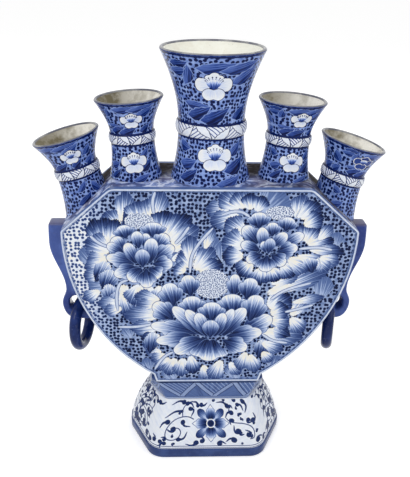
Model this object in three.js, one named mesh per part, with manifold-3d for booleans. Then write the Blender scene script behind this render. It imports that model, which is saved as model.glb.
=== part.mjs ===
// A finger vase: a flat-sided porcelain reservoir on a flared pedestal, with five flaring
// spouts on its shoulder, and two lug handles from which loose rings hang.
// It is built as a potter builds it: slabs, thrown spouts and moulded pieces that are luted
// together with slip. Millimetres, +Z up, the front faces -Y, the origin is under the foot.
import * as THREE from "three";
import { mergeVertices } from "three/addons/utils/BufferGeometryUtils.js";
import Module from "manifold-3d";

const wasm = await Module();
wasm.setup();

const lutingGap = 0.3; // slip joint left between any two luted pieces
const weldDistance = 1e-4; // points nearer than this are one

// Reservoir: outline seen from the front, and its depth
const reservoir = {
  top: 212,
  bottom: 59.6,
  topHalfWidth: 68,
  topCornerRadius: 8,
  halfWidth: 102,
  shoulderCornerZ: 181.5,
  shoulderCornerRadius: 3.2,
  sideArcTopZ: 180,
  sideArcRadius: 136,
  sideArcEndZ: 66,
  baseTuck: 1.9, // how far the base's edge stands in from where the side's curve ends
  depth: 62,
};
const slab = 4.5; // thickness of every slab of the reservoir
const bead = { width: 1.7, height: 0.8 }; // raised edge round each flat panel
const sideArcSteps = 20;
const cornerSteps = 4;
const smallestCorner = 0.8;
const octagonSteps = 3;
const cornerShare = 0.98; // the most of a side that the roundings at its ends may take up

// Spouts. Lengths run down the spout's own axis from the rim.
const centreSpout = {
  lipRadius: 35.3,
  lipThickness: 2.6,
  flareLength: 48,
  flareDepth: 28, // how far down the tangent at the lip meets the neck line
  neckRadius: 22.8,
  collarLength: 9.6,
  collarRise: 1.8,
  wall: 4,
  baseRadius: 29.2,
  baseTangent: 16,
  roundSteps: 36,
};
const smallSpout = {
  lipRadius: 23.6,
  lipThickness: 2.2,
  flareLength: 22,
  flareDepth: 15.5,
  neckRadius: 15,
  collarLength: 7.2,
  collarRise: 1.5,
  wall: 3.2,
  baseRadius: 18,
  baseTangent: 13,
  roundSteps: 26,
};
// Seats: the side; where the axis meets the shoulder, as a shift past the slope's middle, or on
// the flat top past its corner (negative is back towards the centre); how high the rim stands
// over that place; the tilt outwards in degrees; and how far below it the base would end.
// The small spouts were set by hand, so left and right differ.
const centreSeat = { side: 0, onSlope: false, shift: 0, rise: 88, tilt: 0, sink: 0 };
const smallSpoutSeats = {
  spout_inner_left: { side: -1, onSlope: false, shift: -16.2, rise: 54.9, tilt: 4.2, sink: 0 },
  spout_inner_right: { side: 1, onSlope: false, shift: -16.2, rise: 54.4, tilt: 3.4, sink: 0 },
  spout_outer_left: { side: -1, onSlope: true, shift: 2.4, rise: 45.6, tilt: 15.5, sink: 7.7 },
  spout_outer_right: { side: 1, onSlope: true, shift: 2.9, rise: 43.1, tilt: 16, sink: 10 },
};
const spoutRoot = 30; // spare length below the base that is cut away at the shoulder
const collarEdge = 0.6; // height of a collar's rounded edges, as a share of its rise
const collarCrown = 0.2; // how far a collar's middle bulges, as a share of its rise
const flareSteps = 8;
const innerFlareSteps = 6;
const baseSteps = 4;
const lipSteps = 4;

// Pedestal, from the reservoir down: waist collar, flared foot and foot ring.
// front: half-width of the front face; depth: half-depth; side: half-width at the sides;
// sideFace: half-length of the side face
const waistTop = { front: 36.6, depth: 31, side: 42, sideFace: 26.5 };
const waistBottom = { front: 31, depth: 27, side: 43.4, sideFace: 6 };
const footTop = { front: 33.2, depth: 28.6, side: 45, sideFace: 6 };
const footBottom = { front: 41, depth: 44.6, side: 58.6, sideFace: 6 };
const waistBottomZ = 41.6;
const waistWall = 6.5;
const waistCornerRadius = 3;
const footWall = 5;
const footCornerRadius = 7;
const footBulge = 0.65; // how far the foot's flare swells from a straight taper
const footSteps = 7;
const footRingHeight = 8;
const footRingLedge = 0.8; // how far the foot ring stands out from the foot
const footRingThickness = 6.5;
const edgeRound = 1.6;

// Handles and rings
const lug = {
  topZ: 177,
  bulgeOut: 12.9, // how far the strap stands out past the reservoir's widest place
  bulgeZ: 162, // where it stands out the most
  topSetBack: 1, // how far its top stands in from there
  topRound: 4,
  ease: 0.36, // how long the strap runs straight at the bulge, as a share of the bend
  waistOut: 2.9, // the same at its narrowest place, above the eye
  waistZ: 124.5,
  depth: 12,
  edge: 2.4, // rounding of the front and back edges
  eyeOut: 0.6, // the eye runs from the side slab out to here
  eyeTopZ: 118.8,
  eyeBottomZ: 106.2,
  eyeCornerRadius: 5,
  eyeBarOut: 5.5, // thickness of the eye's outer bar
  eyeBarUnder: 7, // thickness of the bar the ring hangs on
  root: 42, // spare length towards the wall, cut away by the side slab
};
const ring = {
  radius: 17.6,
  tube: 4.25,
  fromEyeEnd: 7.8, // from the eye's outer end to the middle of the ring's tube
  play: 0.9, // between the ring and the bar it hangs on
  leftTwistAngle: 12, // degrees about the vertical, as it happens to hang
  rightTwistAngle: 15,
  roundSteps: 36,
  tubeSteps: 10,
};

const lugBevelSteps = 2;
const lugCurveSteps = 6;

const halfDepth = reservoir.depth / 2;
const stripHalfDepth = halfDepth - slab - lutingGap;
const sideArcFall = reservoir.sideArcTopZ - reservoir.sideArcEndZ;
const baseHalfWidth = reservoir.halfWidth - reservoir.sideArcRadius
  + Math.sqrt(reservoir.sideArcRadius ** 2 - sideArcFall ** 2) - reservoir.baseTuck;
const floorHalfWidth = baseHalfWidth - slab;
const eyeEndX = reservoir.halfWidth + lug.eyeOut;
const cutterSize = 4 * reservoir.halfWidth; // reaches past everything the cutters trim

const colours = {
  paintedWhite: { color: 0xd9dfec, roughness: 0.22 },
  groundBlue: { color: 0x5a76b8, roughness: 0.22 },
  shoulderBlue: { color: 0x54618f, roughness: 0.35 },
  handleBlue: { color: 0x2f3f78, roughness: 0.25 },
  ringBlue: { color: 0x222c57, roughness: 0.22 },
  bareWhite: { color: 0xe6e4dc, roughness: 0.5 },
};

// Solids from three.js geometries, and back
function solidOf(geometry) {
  const bare = geometry.index ? geometry.toNonIndexed() : geometry.clone();
  bare.deleteAttribute("normal");
  bare.deleteAttribute("uv");
  const merged = mergeVertices(bare, weldDistance);
  return new wasm.Manifold(new wasm.Mesh({
    numProp: 3,
    vertProperties: new Float32Array(merged.attributes.position.array),
    triVerts: new Uint32Array(merged.index.array),
  }));
}

function geometryOf(solid) {
  const mesh = solid.getMesh();
  const geometry = new THREE.BufferGeometry();
  geometry.setAttribute("position", new THREE.BufferAttribute(mesh.vertProperties, 3));
  geometry.setIndex(new THREE.BufferAttribute(mesh.triVerts, 1));
  const faceted = geometry.toNonIndexed();
  faceted.computeVertexNormals();
  return faceted;
}

function meshOf(name, geometry, finish) {
  const mesh = new THREE.Mesh(
    geometry,
    new THREE.MeshStandardMaterial({ metalness: 0, ...colours[finish] }),
  );
  mesh.name = name;
  return mesh;
}

// A convex outline moved inwards by a distance, or outwards by a negative one
function inset(points, distance) {
  const count = points.length;
  const edgeNormal = (i) => {
    const a = points[i % count];
    const b = points[(i + 1) % count];
    const along = b.clone().sub(a).normalize();
    return new THREE.Vector2(-along.y, along.x); // inwards for a counter-clockwise outline
  };
  return points.map((point, i) => {
    const before = edgeNormal(i + count - 1);
    const after = edgeNormal(i);
    const middle = before.clone().add(after).normalize();
    return point.clone().addScaledVector(middle, distance / middle.dot(after));
  });
}

// Replaces the corner of an outline by an arc that touches both of its sides
function roundedCorner(before, corner, after, radius, steps) {
  const toBefore = before.clone().sub(corner).normalize();
  const toAfter = after.clone().sub(corner).normalize();
  const half = Math.acos(THREE.MathUtils.clamp(toBefore.dot(toAfter), -1, 1)) / 2;
  const middle = toBefore.clone().add(toAfter).normalize();
  const centre = corner.clone().addScaledVector(middle, radius / Math.sin(half));
  const start = corner.clone().addScaledVector(toBefore, radius / Math.tan(half)).sub(centre);
  const turn = (Math.PI - 2 * half) * Math.sign(start.cross(corner.clone().sub(centre)));
  return Array.from({ length: steps + 1 }, (_, i) =>
    start.clone().rotateAround(new THREE.Vector2(), (turn * i) / steps).add(centre));
}

// The reservoir's outline in x and z, counter-clockwise, moved inwards by a distance
function reservoirOutline(inwards = 0) {
  const r = reservoir;
  const arcCentreX = r.halfWidth - r.sideArcRadius;
  const arcEnd = -Math.asin(sideArcFall / r.sideArcRadius);
  const side = Array.from({ length: sideArcSteps }, (_, i) => {
    const angle = arcEnd * (1 - i / sideArcSteps);
    return new THREE.Vector2(
      arcCentreX + r.sideArcRadius * Math.cos(angle),
      r.sideArcTopZ + r.sideArcRadius * Math.sin(angle),
    );
  });
  const right = [
    new THREE.Vector2(baseHalfWidth, r.bottom),
    ...side,
    new THREE.Vector2(r.halfWidth, r.shoulderCornerZ),
    new THREE.Vector2(r.topHalfWidth, r.top),
  ];
  const left = right.map((p) => new THREE.Vector2(-p.x, p.y)).reverse();
  const sharp = inset([...right, ...left], inwards);
  const firstRounded = right.indexOf(right.at(-2)); // the shoulder's corner on the right
  const cornerRadii = [
    r.shoulderCornerRadius, r.topCornerRadius, r.topCornerRadius, r.shoulderCornerRadius];
  return sharp.flatMap((corner, i) => {
    const cornerRadius = cornerRadii[i - firstRounded];
    if (cornerRadius === undefined) {
      return [corner];
    }
    const radius = Math.max(cornerRadius - inwards, smallestCorner);
    return roundedCorner(sharp[i - 1], corner, sharp[i + 1], radius, cornerSteps);
  });
}

// Extrudes an outline in x and z along y, from yFrom to yTo
function alongY(shape, yFrom, yTo, options = {}) {
  const depth = yTo - yFrom;
  const geometry = new THREE.ExtrudeGeometry(shape, { depth, bevelEnabled: false, ...options });
  geometry.rotateX(Math.PI / 2); // shape y becomes z, and the extrusion runs to -y
  geometry.translate(0, yTo, 0);
  return geometry;
}

const outline = reservoirOutline();
const innerOutline = reservoirOutline(slab);

// The whole reservoir as one block with the slip joint round it: what sits on it is cut by it
const seatingBlock = alongY(
  new THREE.Shape(reservoirOutline(-lutingGap)), -reservoir.depth, reservoir.depth);

// All that lies below the tops of the lugs, on which the outermost spouts may rest
const lugTopBlock = new THREE.BoxGeometry(cutterSize, reservoir.depth, lug.topZ);
lugTopBlock.translate(0, 0, lug.topZ / 2 + lutingGap);

// Keeps the part of a solid on the side of a point that a direction in x and z shows
function keepSide(solid, x, z, towardsX, towardsZ) {
  const box = new THREE.BoxGeometry(cutterSize, cutterSize, cutterSize);
  box.translate(cutterSize / 2, 0, 0);
  box.rotateY(-Math.atan2(towardsZ, towardsX));
  box.translate(x, 0, z);
  return solid.intersect(solidOf(box));
}

// Flat panel with its raised bead; facing is -1 at the front and +1 at the back
function panel(name, facing) {
  const face = facing * (halfDepth - bead.height);
  const back = facing * (halfDepth - slab);
  const field = alongY(
    new THREE.Shape(outline), Math.min(face, back), Math.max(face, back));
  const rimShape = new THREE.Shape(outline);
  rimShape.holes.push(new THREE.Path(reservoirOutline(bead.width)));
  const edge = facing * halfDepth;
  const rim = alongY(rimShape, Math.min(edge, back), Math.max(edge, back));
  return meshOf(name, geometryOf(solidOf(field).add(solidOf(rim))), "paintedWhite");
}

// Where a spout is: its rim's middle, its lean in radians, and its length down its own axis
function seatPlace({ side, onSlope, shift, rise, tilt, sink }) {
  const corner = new THREE.Vector2(reservoir.topHalfWidth, reservoir.top);
  const slope = new THREE.Vector2(reservoir.halfWidth, reservoir.shoulderCornerZ).sub(corner);
  const along = onSlope ? slope.length() / 2 + shift : shift;
  const direction = onSlope ? slope.normalize() : new THREE.Vector2(1, 0);
  const base = corner.addScaledVector(direction, along);
  const lean = THREE.MathUtils.degToRad(tilt);
  return {
    x: side * (base.x + rise * Math.tan(lean)),
    z: base.y + rise,
    lean: side * lean,
    length: rise / Math.cos(lean) + sink,
  };
}

// A spout's closed profile: r across and its height along the axis, with the rim at 0
function spoutProfile(size, length) {
  const bore = size.neckRadius - size.wall;
  const lip = size.lipThickness / 2;
  const curve = (from, tangent, to, steps) =>
    new THREE.QuadraticBezierCurve(from, tangent, to).getPoints(steps);
  const at = (radius, height) => new THREE.Vector2(radius, height);
  const collarFoot = -size.flareLength - size.collarLength;
  const collarRadius = size.neckRadius + size.collarRise;
  const edgeHeight = size.collarRise * collarEdge;
  const bulge = size.collarRise * collarCrown;
  const outerLip = at(size.lipRadius, -lip);
  const outerFlare = curve(
    outerLip,
    at(size.neckRadius, -size.flareDepth),
    at(size.neckRadius, -size.flareLength),
    flareSteps,
  );
  const collar = [
    at(collarRadius, -size.flareLength - edgeHeight),
    at(collarRadius + bulge, -size.flareLength - size.collarLength / 2),
    at(collarRadius, collarFoot + edgeHeight),
  ];
  const baseFlare = curve(
    at(size.neckRadius, collarFoot),
    at(size.neckRadius, -length + size.baseTangent),
    at(size.baseRadius, -length),
    baseSteps,
  );
  const root = [
    at(size.baseRadius, -length - spoutRoot),
    at(bore, -length - spoutRoot),
  ];
  const innerFlare = curve(
    at(bore, -size.flareLength),
    at(bore, -size.flareDepth),
    at(size.lipRadius - size.lipThickness, -lip),
    innerFlareSteps,
  );
  const lipArc = Array.from({ length: lipSteps - 1 }, (_, i) => {
    const angle = Math.PI - (Math.PI * (i + 1)) / lipSteps;
    return at(size.lipRadius - lip + lip * Math.cos(angle), -lip + lip * Math.sin(angle));
  });
  const points = [...outerFlare, ...collar, ...baseFlare, ...root, ...innerFlare, ...lipArc];
  return [...points, points[0].clone()].reverse();
}

// Builds a spout in its own frame, cuts its base to sit on the shoulder and places it
function spout(name, size, seat) {
  const { x, z, lean, length } = seatPlace(seat);
  const place = new THREE.Group();
  place.position.set(x, 0, z);
  place.rotation.y = lean;
  place.updateMatrix();
  const toSpout = place.matrix.clone().invert();
  const turned = new THREE.LatheGeometry(spoutProfile(size, length), size.roundSteps);
  turned.rotateX(Math.PI / 2);
  const seated = [seatingBlock, lugTopBlock].reduce(
    (solid, cutter) => solid.subtract(solidOf(cutter.clone().applyMatrix4(toSpout))),
    solidOf(turned),
  );
  place.add(meshOf(name, geometryOf(seated), "groundBlue"));
  return place;
}

// The bore of a spout carried on through the shoulder slab
function boreCutter(size, seat) {
  const bore = size.neckRadius - size.wall;
  const { x, z, lean, length } = seatPlace(seat);
  const reach = length + spoutRoot;
  const cutter = new THREE.CylinderGeometry(bore, bore, reach, size.roundSteps);
  cutter.rotateX(Math.PI / 2);
  cutter.translate(0, 0, -reach / 2);
  cutter.rotateY(lean);
  cutter.translate(x, 0, z);
  return solidOf(cutter);
}

// The strip that closes the reservoir between its panels, with a hole for each spout
function bentStrip() {
  const shape = new THREE.Shape(outline);
  shape.holes.push(new THREE.Path(innerOutline));
  let strip = solidOf(alongY(shape, -stripHalfDepth, stripHalfDepth));
  strip = strip.subtract(boreCutter(centreSpout, centreSeat));
  for (const seat of Object.values(smallSpoutSeats)) {
    strip = strip.subtract(boreCutter(smallSpout, seat));
  }
  return strip;
}

// The mitres at the strip's two bends on the right: a point of each and the way across it
function mitres() {
  const r = reservoir;
  const slope = Math.atan2(r.top - r.shoulderCornerZ, r.halfWidth - r.topHalfWidth);
  const across = (angle) => new THREE.Vector2(Math.cos(angle), -Math.sin(angle));
  return {
    upper: { at: new THREE.Vector2(r.topHalfWidth, r.top), across: across(slope / 2) },
    lower: {
      at: new THREE.Vector2(r.halfWidth, r.shoulderCornerZ),
      across: across((Math.PI / 2 + slope) / 2),
    },
  };
}

// Keeps what lies before (way -1) or past (way +1) a mitre, less half a slip joint
function cutAtMitre(solid, { at, across }, side, way) {
  const edge = at.clone().addScaledVector(across, (way * lutingGap) / 2);
  return keepSide(solid, side * edge.x, edge.y, side * way * across.x, way * across.y);
}

// Cuts the strip into shoulder slabs and side slabs, mitred where they meet
function reservoirSlabs() {
  const strip = bentStrip();
  const { upper, lower } = mitres();
  let top = keepSide(strip, 0, (reservoir.top + reservoir.bottom) / 2, 0, 1);
  const slabs = [];
  for (const side of [-1, 1]) {
    const label = side < 0 ? "left" : "right";
    top = cutAtMitre(top, upper, side, -1);
    const sloping = cutAtMitre(cutAtMitre(strip, upper, side, 1), lower, side, -1);
    const wall = keepSide(
      cutAtMitre(strip, lower, side, 1), side * (floorHalfWidth + lutingGap), 0, side, 0);
    slabs.push(
      meshOf(`shoulder_slab_${label}`, geometryOf(sloping), "shoulderBlue"),
      meshOf(`side_slab_${label}`, geometryOf(wall), "groundBlue"),
    );
  }
  return [meshOf("shoulder_slab_top", geometryOf(top), "shoulderBlue"), ...slabs];
}

// The floor closes the bottom of the reservoir between the two side slabs
function floorSlab() {
  const floor = new THREE.BoxGeometry(2 * floorHalfWidth, 2 * stripHalfDepth, slab);
  floor.translate(0, 0, reservoir.bottom + slab / 2);
  return meshOf("floor_slab", floor, "bareWhite");
}

// A section of the pedestal: a long octagon with rounded corners, counter-clockwise
function octagon({ front, depth, side, sideFace }, radius, inwards) {
  const quarter = [[front, -depth], [side, -sideFace], [side, sideFace], [front, depth]];
  const corners = inset(
    [...quarter, ...quarter.map(([x, y]) => [-x, -y])].map(([x, y]) => new THREE.Vector2(x, y)),
    inwards,
  );
  const count = corners.length;
  return corners.flatMap((corner, i) => {
    const before = corners[(i + count - 1) % count];
    const after = corners[(i + 1) % count];
    const reach = Math.min(before.distanceTo(corner), after.distanceTo(corner)) / 2;
    const half = before.clone().sub(corner).angleTo(after.clone().sub(corner)) / 2;
    const limited = Math.min(radius, reach * Math.tan(half) * cornerShare);
    return roundedCorner(before, corner, after, limited, octagonSteps);
  });
}

function blend(a, b, share) {
  return Object.fromEntries(
    Object.keys(a).map((key) => [key, THREE.MathUtils.lerp(a[key], b[key], share)]));
}

// A closed shell through a cycle of loops with equal numbers of points: out, round and back
function shellOf(loops) {
  const count = loops[0].points.length;
  const positions = loops.flatMap(({ points, z }) => points.flatMap((p) => [p.x, p.y, z]));
  const index = [];
  loops.forEach((_, k) => {
    const here = k * count;
    const next = ((k + 1) % loops.length) * count;
    for (let i = 0; i < count; i += 1) {
      const j = (i + 1) % count;
      index.push(here + i, here + j, next + j, here + i, next + j, next + i);
    }
  });
  const geometry = new THREE.BufferGeometry();
  geometry.setAttribute("position", new THREE.Float32BufferAttribute(positions, 3));
  geometry.setIndex(index);
  const faceted = geometry.toNonIndexed();
  faceted.computeVertexNormals();
  return faceted;
}

const loopAt = (z, section, radius, inwards = 0) => ({
  points: octagon(section, radius, inwards),
  z,
});

function waistCollar() {
  const top = reservoir.bottom - lutingGap;
  const radius = waistCornerRadius;
  return meshOf("waist_collar", shellOf([
    loopAt(waistBottomZ, waistBottom, radius),
    loopAt(top, waistTop, radius),
    loopAt(top, waistTop, radius, waistWall),
    loopAt(waistBottomZ, waistBottom, radius, waistWall),
  ]), "groundBlue");
}

// The foot's flare, swelling a little between its bottom and top sections
function footSection(share) {
  return blend(footBottom, footTop, share - footBulge * share * (1 - share));
}

function pedestalFoot() {
  const top = waistBottomZ - lutingGap;
  const bottom = footRingHeight + lutingGap;
  const radius = footCornerRadius;
  const shares = Array.from({ length: footSteps + 1 }, (_, i) => i / footSteps);
  const outerTop = top - edgeRound / 2;
  const outer = shares.map((share) => loopAt(
    THREE.MathUtils.lerp(bottom, outerTop, share), footSection(share), radius));
  const crown = loopAt(top, footTop, radius, edgeRound / 2);
  const inner = shares.filter((_, i) => i % 2 === footSteps % 2).reverse().map((share) => loopAt(
    THREE.MathUtils.lerp(bottom, top, share), footSection(share), radius, footWall));
  const sill = loopAt(bottom, footBottom, radius, footWall);
  return meshOf("pedestal_foot", shellOf([...outer, crown, ...inner, sill]), "paintedWhite");
}

function footRing() {
  const at = (z, inwards) => loopAt(z, footBottom, footCornerRadius, inwards);
  return meshOf("foot_ring", shellOf([
    at(0, edgeRound - footRingLedge),
    at(edgeRound, -footRingLedge),
    at(footRingHeight - edgeRound, -footRingLedge),
    at(footRingHeight, 0),
    at(footRingHeight, footRingThickness),
    at(0, footRingThickness),
  ]), "handleBlue");
}

// A lug handle seen from the front: a strap down the side that ends in an eye
function lugShape() {
  const underZ = lug.eyeBottomZ - lug.eyeBarUnder;
  const outX = eyeEndX + lug.eyeBarOut;
  const middleZ = (lug.eyeBottomZ + lug.eyeTopZ) / 2;
  const round = lug.eyeCornerRadius;
  const bulgeX = reservoir.halfWidth + lug.bulgeOut;
  const waistX = reservoir.halfWidth + lug.waistOut;
  const rootX = reservoir.halfWidth - lug.root;
  const topX = bulgeX - lug.topSetBack;
  const ease = (lug.bulgeZ - lug.waistZ) * lug.ease;
  const shape = new THREE.Shape();
  shape.moveTo(rootX, underZ);
  shape.lineTo(eyeEndX - round, underZ);
  shape.bezierCurveTo(outX - round / 2, underZ, outX, middleZ - round, outX, middleZ);
  shape.bezierCurveTo(outX, middleZ + round, waistX, lug.waistZ - round, waistX, lug.waistZ);
  shape.bezierCurveTo(
    waistX, lug.waistZ + ease, bulgeX, lug.bulgeZ - ease, bulgeX, lug.bulgeZ);
  shape.quadraticCurveTo(bulgeX, (lug.bulgeZ + lug.topZ) / 2, topX, lug.topZ - lug.topRound);
  shape.quadraticCurveTo(topX, lug.topZ, topX - lug.topRound, lug.topZ);
  shape.lineTo(rootX, lug.topZ);
  shape.holes.push(eyeHole(rootX + round));
  return shape;
}

// The eye is open to the side slab: a long hole with its two outer corners rounded
function eyeHole(fromX) {
  const radius = lug.eyeCornerRadius;
  const cornerX = eyeEndX - radius;
  const hole = new THREE.Path();
  hole.moveTo(fromX, lug.eyeTopZ);
  hole.lineTo(cornerX, lug.eyeTopZ);
  hole.absarc(cornerX, lug.eyeTopZ - radius, radius, Math.PI / 2, 0, true);
  hole.absarc(cornerX, lug.eyeBottomZ + radius, radius, 0, -Math.PI / 2, true);
  hole.lineTo(fromX, lug.eyeBottomZ);
  hole.closePath();
  return hole;
}

// The lug is trimmed against the side slab; side is -1 on the left and +1 on the right
function lugHandle(side) {
  const bevel = {
    bevelEnabled: true,
    bevelThickness: lug.edge,
    bevelSize: lug.edge,
    bevelOffset: -lug.edge,
    bevelSegments: lugBevelSteps,
    curveSegments: lugCurveSteps,
  };
  const straight = lug.depth / 2 - lug.edge;
  const strap = alongY(lugShape(), -straight, straight, bevel);
  const trimmed = solidOf(strap).subtract(solidOf(seatingBlock));
  const geometry = geometryOf(trimmed);
  if (side < 0) {
    geometry.rotateZ(Math.PI);
  }
  return meshOf(side < 0 ? "lug_handle_left" : "lug_handle_right", geometry, "handleBlue");
}

// A loose ring hangs through the eye; its group stands at the middle of its topmost section
function looseRing(side) {
  const hang = new THREE.Group();
  const hangX = eyeEndX - ring.fromEyeEnd;
  hang.position.set(side * hangX, 0, lug.eyeBottomZ + ring.play + ring.tube);
  const twist = side < 0 ? ring.leftTwistAngle : ring.rightTwistAngle;
  hang.rotation.z = -THREE.MathUtils.degToRad(twist);
  const torus = new THREE.TorusGeometry(
    ring.radius, ring.tube, ring.tubeSteps, ring.roundSteps);
  torus.rotateY(Math.PI / 2);
  const mesh = meshOf(side < 0 ? "loose_ring_left" : "loose_ring_right", torus, "ringBlue");
  mesh.position.z = -ring.radius;
  hang.add(mesh);
  return hang;
}

const vase = new THREE.Group();
vase.add(
  panel("front_panel", -1),
  panel("back_panel", 1),
  ...reservoirSlabs(),
  floorSlab(),
  waistCollar(),
  pedestalFoot(),
  footRing(),
  spout("spout_centre", centreSpout, centreSeat),
  ...Object.entries(smallSpoutSeats).map(([name, seat]) => spout(name, smallSpout, seat)),
  ...[-1, 1].flatMap((side) => [lugHandle(side), looseRing(side)]),
);

export default vase;
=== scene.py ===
"""Dresses a finger vase: painted porcelain panels, spouts, foot, cobalt lugs and loose rings."""
import logging
import math
from abc import ABC, abstractmethod
from bisect import bisect_right
from dataclasses import astuple, dataclass, field, replace
from enum import Enum
from functools import partialmethod
from itertools import accumulate
from typing import Callable, ClassVar, Iterable, Iterator, Sequence

import bmesh
import bpy
from bmesh.types import BMEdge, BMesh, BMFace, BMVert
from bpy.types import Material, Node, NodeSocket, Object, World
from mathutils import Matrix, Vector
from mathutils.geometry import delaunay_2d_cdt


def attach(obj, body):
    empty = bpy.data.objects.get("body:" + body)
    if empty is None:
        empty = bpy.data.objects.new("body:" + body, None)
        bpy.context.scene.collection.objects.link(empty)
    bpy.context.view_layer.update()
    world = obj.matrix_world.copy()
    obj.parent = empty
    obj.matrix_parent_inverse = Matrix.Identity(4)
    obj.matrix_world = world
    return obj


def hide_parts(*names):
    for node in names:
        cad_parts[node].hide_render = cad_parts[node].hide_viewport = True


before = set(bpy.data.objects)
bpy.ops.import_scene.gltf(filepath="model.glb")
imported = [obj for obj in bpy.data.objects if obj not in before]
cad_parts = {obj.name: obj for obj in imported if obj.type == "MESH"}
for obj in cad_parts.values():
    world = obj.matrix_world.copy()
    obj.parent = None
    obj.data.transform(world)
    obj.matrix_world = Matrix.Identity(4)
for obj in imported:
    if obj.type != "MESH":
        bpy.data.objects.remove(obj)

LOG = logging.getLogger("finger_vase")
MM = 0.001
WELD = 0.002  # points nearer than this, in millimetres, are one
LEVEL = 0.01  # places that differ by less, in millimetres, are level
LEAST_AREA = 0.02  # a stroke that covers fewer square millimetres is left out
SHARP = 1.0  # the angle in radians from which an edge is rounded
Point = tuple[float, float]
Colour = tuple[float, float, float, float]
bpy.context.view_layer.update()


# Paint

class Pattern(Enum):
    """What lies under a stroke's own tones."""

    PLAIN = 0.0
    STIPPLE = 0.5
    DOTS = 1.0


class Run(Enum):
    """The way that an ink's tones run."""

    OUTWARDS = 0.0  # from the root to the tip
    TO_MARGIN = 0.5  # from the root to every edge
    ACROSS = 1.0  # from the middle line to both sides


@dataclass(frozen=True)
class Ink:
    """How a stroke is painted. Tones run from 0, bare white, to 1, darkest cobalt."""

    root: float
    tip: float
    streaks: float = 0.0
    run: Run = Run.OUTWARDS
    pattern: Pattern = Pattern.PLAIN


GROUND = Ink(0.46, 0.46, 0.1, pattern=Pattern.DOTS)
STIPPLE = Ink(0.03, 0.03, pattern=Pattern.STIPPLE)
PETAL = Ink(0.92, -0.02, 0.34)
HEART = Ink(0.9, 0.1, 0.3)
MARGIN = Ink(-0.16, 0.74, 0.44, Run.TO_MARGIN)
DEEP_MARGIN = Ink(-0.12, 0.95, 0.44, Run.TO_MARGIN)
FOLD = Ink(0.92, 0.08, 0.42)
DARK_FOLD = Ink(0.85, 0.7, 0.3)
HAZE = Ink(0.3, 0.56, 0.3)
FINE_LINE = Ink(0.52, 0.52)
NAVY = Ink(0.93, 0.93)
DEEP_BLUE = Ink(0.84, 0.84)
LIP_EDGE = Ink(0.84, 0.84, 0.1)
COBALT = Ink(0.72, 0.72, 0.12)
WAIST_BLUE = Ink(0.57, 0.57, 0.15)
MID_BLUE = Ink(0.5, 0.5, 0.12)
SOFT_BLUE = Ink(0.36, 0.36, 0.1)
PALE_BLUE = Ink(0.22, 0.22, 0.05)
BEAD = Ink(0.13, 0.13, 0.05)
FOOT_WHITE = Ink(0.06, 0.06, 0.05)
COLLAR_WHITE = Ink(0.05, 0.05, 0.1)
WHITE = Ink(0.0, 0.0, 0.05)
BLOSSOM = Ink(0.1, 0.02, 0.05)
STAMEN = Ink(0.85, 0.0, 0.4)
SHADOW_LEAF = Ink(0.58, 0.8, 0.45, Run.ACROSS)
DUSK_LEAF = Ink(0.72, 0.96, 0.45, Run.ACROSS)
VINE = Ink(0.88, 0.76, 0.2)
BLUNT_PETAL = Ink(0.2, 0.85, 0.25)
POINTED_PETAL = Ink(0.95, -0.05, 0.25)


def turns(count: int) -> list[float]:
    """Returns that many angles, evenly round a circle."""
    return [2 * math.pi * i / count for i in range(count)]


def round_pairs(items: Sequence) -> Iterable[tuple]:
    """Returns each item with the next, and the last with the first."""
    return zip(items, [*items[1:], *items[:1]])


@dataclass(frozen=True)
class Mark:
    """A painted shape with a root, a tip and a width, in millimetres. By itself it is an oval."""

    base: Point
    tip: Point
    width: float
    point: ClassVar[float] = 1.0  # how much further a line lies in at the ends than at the sides

    def local(self) -> Iterable[Point]:
        """Returns the outline as (millimetres across, share of the length)."""
        return [(self.width / 2 * math.cos(a), 0.5 + 0.5 * math.sin(a)) for a in turns(26)]

    def outline(self) -> list[Vector]:
        """Returns the outline on the canvas."""
        base = Vector(self.base)
        along = Vector(self.tip) - base
        across = Vector((along.y, -along.x)).normalized()
        return [base + across * x + along * y for x, y in self.local()]

    def inset(self, distance: float) -> "Mark":
        """Returns the shape a little smaller, for the inside of a line round it."""
        base, tip = Vector(self.base), Vector(self.tip)
        pull = (tip - base).normalized() * distance * self.point
        return replace(self, base=tuple(base + pull), tip=tuple(tip - pull),
                       width=self.width - 2 * distance)


def spot(centre: Point, half_width: float, half_height: float) -> Mark:
    """Returns an oval about a centre."""
    x, y = centre
    return Mark((x, y - half_height), (x, y + half_height), 2 * half_width)


@dataclass(frozen=True)
class Petal(Mark):
    """A fan-shaped petal with a lobed tip."""

    lobes: int = 3
    steps: ClassVar[int] = 44
    teeth: ClassVar[float] = 0.0  # how far every other point stands out, as a share of the size
    notch: ClassVar[float] = 0.26  # how far the edge lies in between two lobes, as such a share

    def local(self) -> Iterator[Point]:
        """Yields the outline."""
        for i, turn in enumerate(turns(self.steps)):
            bend = turn if turn < math.pi else turn - 2 * math.pi
            lobe = 1.02 - self.notch + self.notch * abs(math.cos(self.lobes * 0.62 * bend)) ** 0.7
            lobe += self.teeth * (-1) ** i
            y = 0.5 + 0.5 * math.cos(turn) * lobe
            taper = min(1.0, 0.42 + 0.9 * y)  # narrower towards the root
            yield self.width / 2 * math.sin(turn) * lobe * taper, y


@dataclass(frozen=True)
class Frond(Petal):
    """A lobe of a leaf, with a feathered edge."""

    steps: ClassVar[int] = 54
    teeth: ClassVar[float] = 0.045
    notch: ClassVar[float] = 0.14


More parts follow.
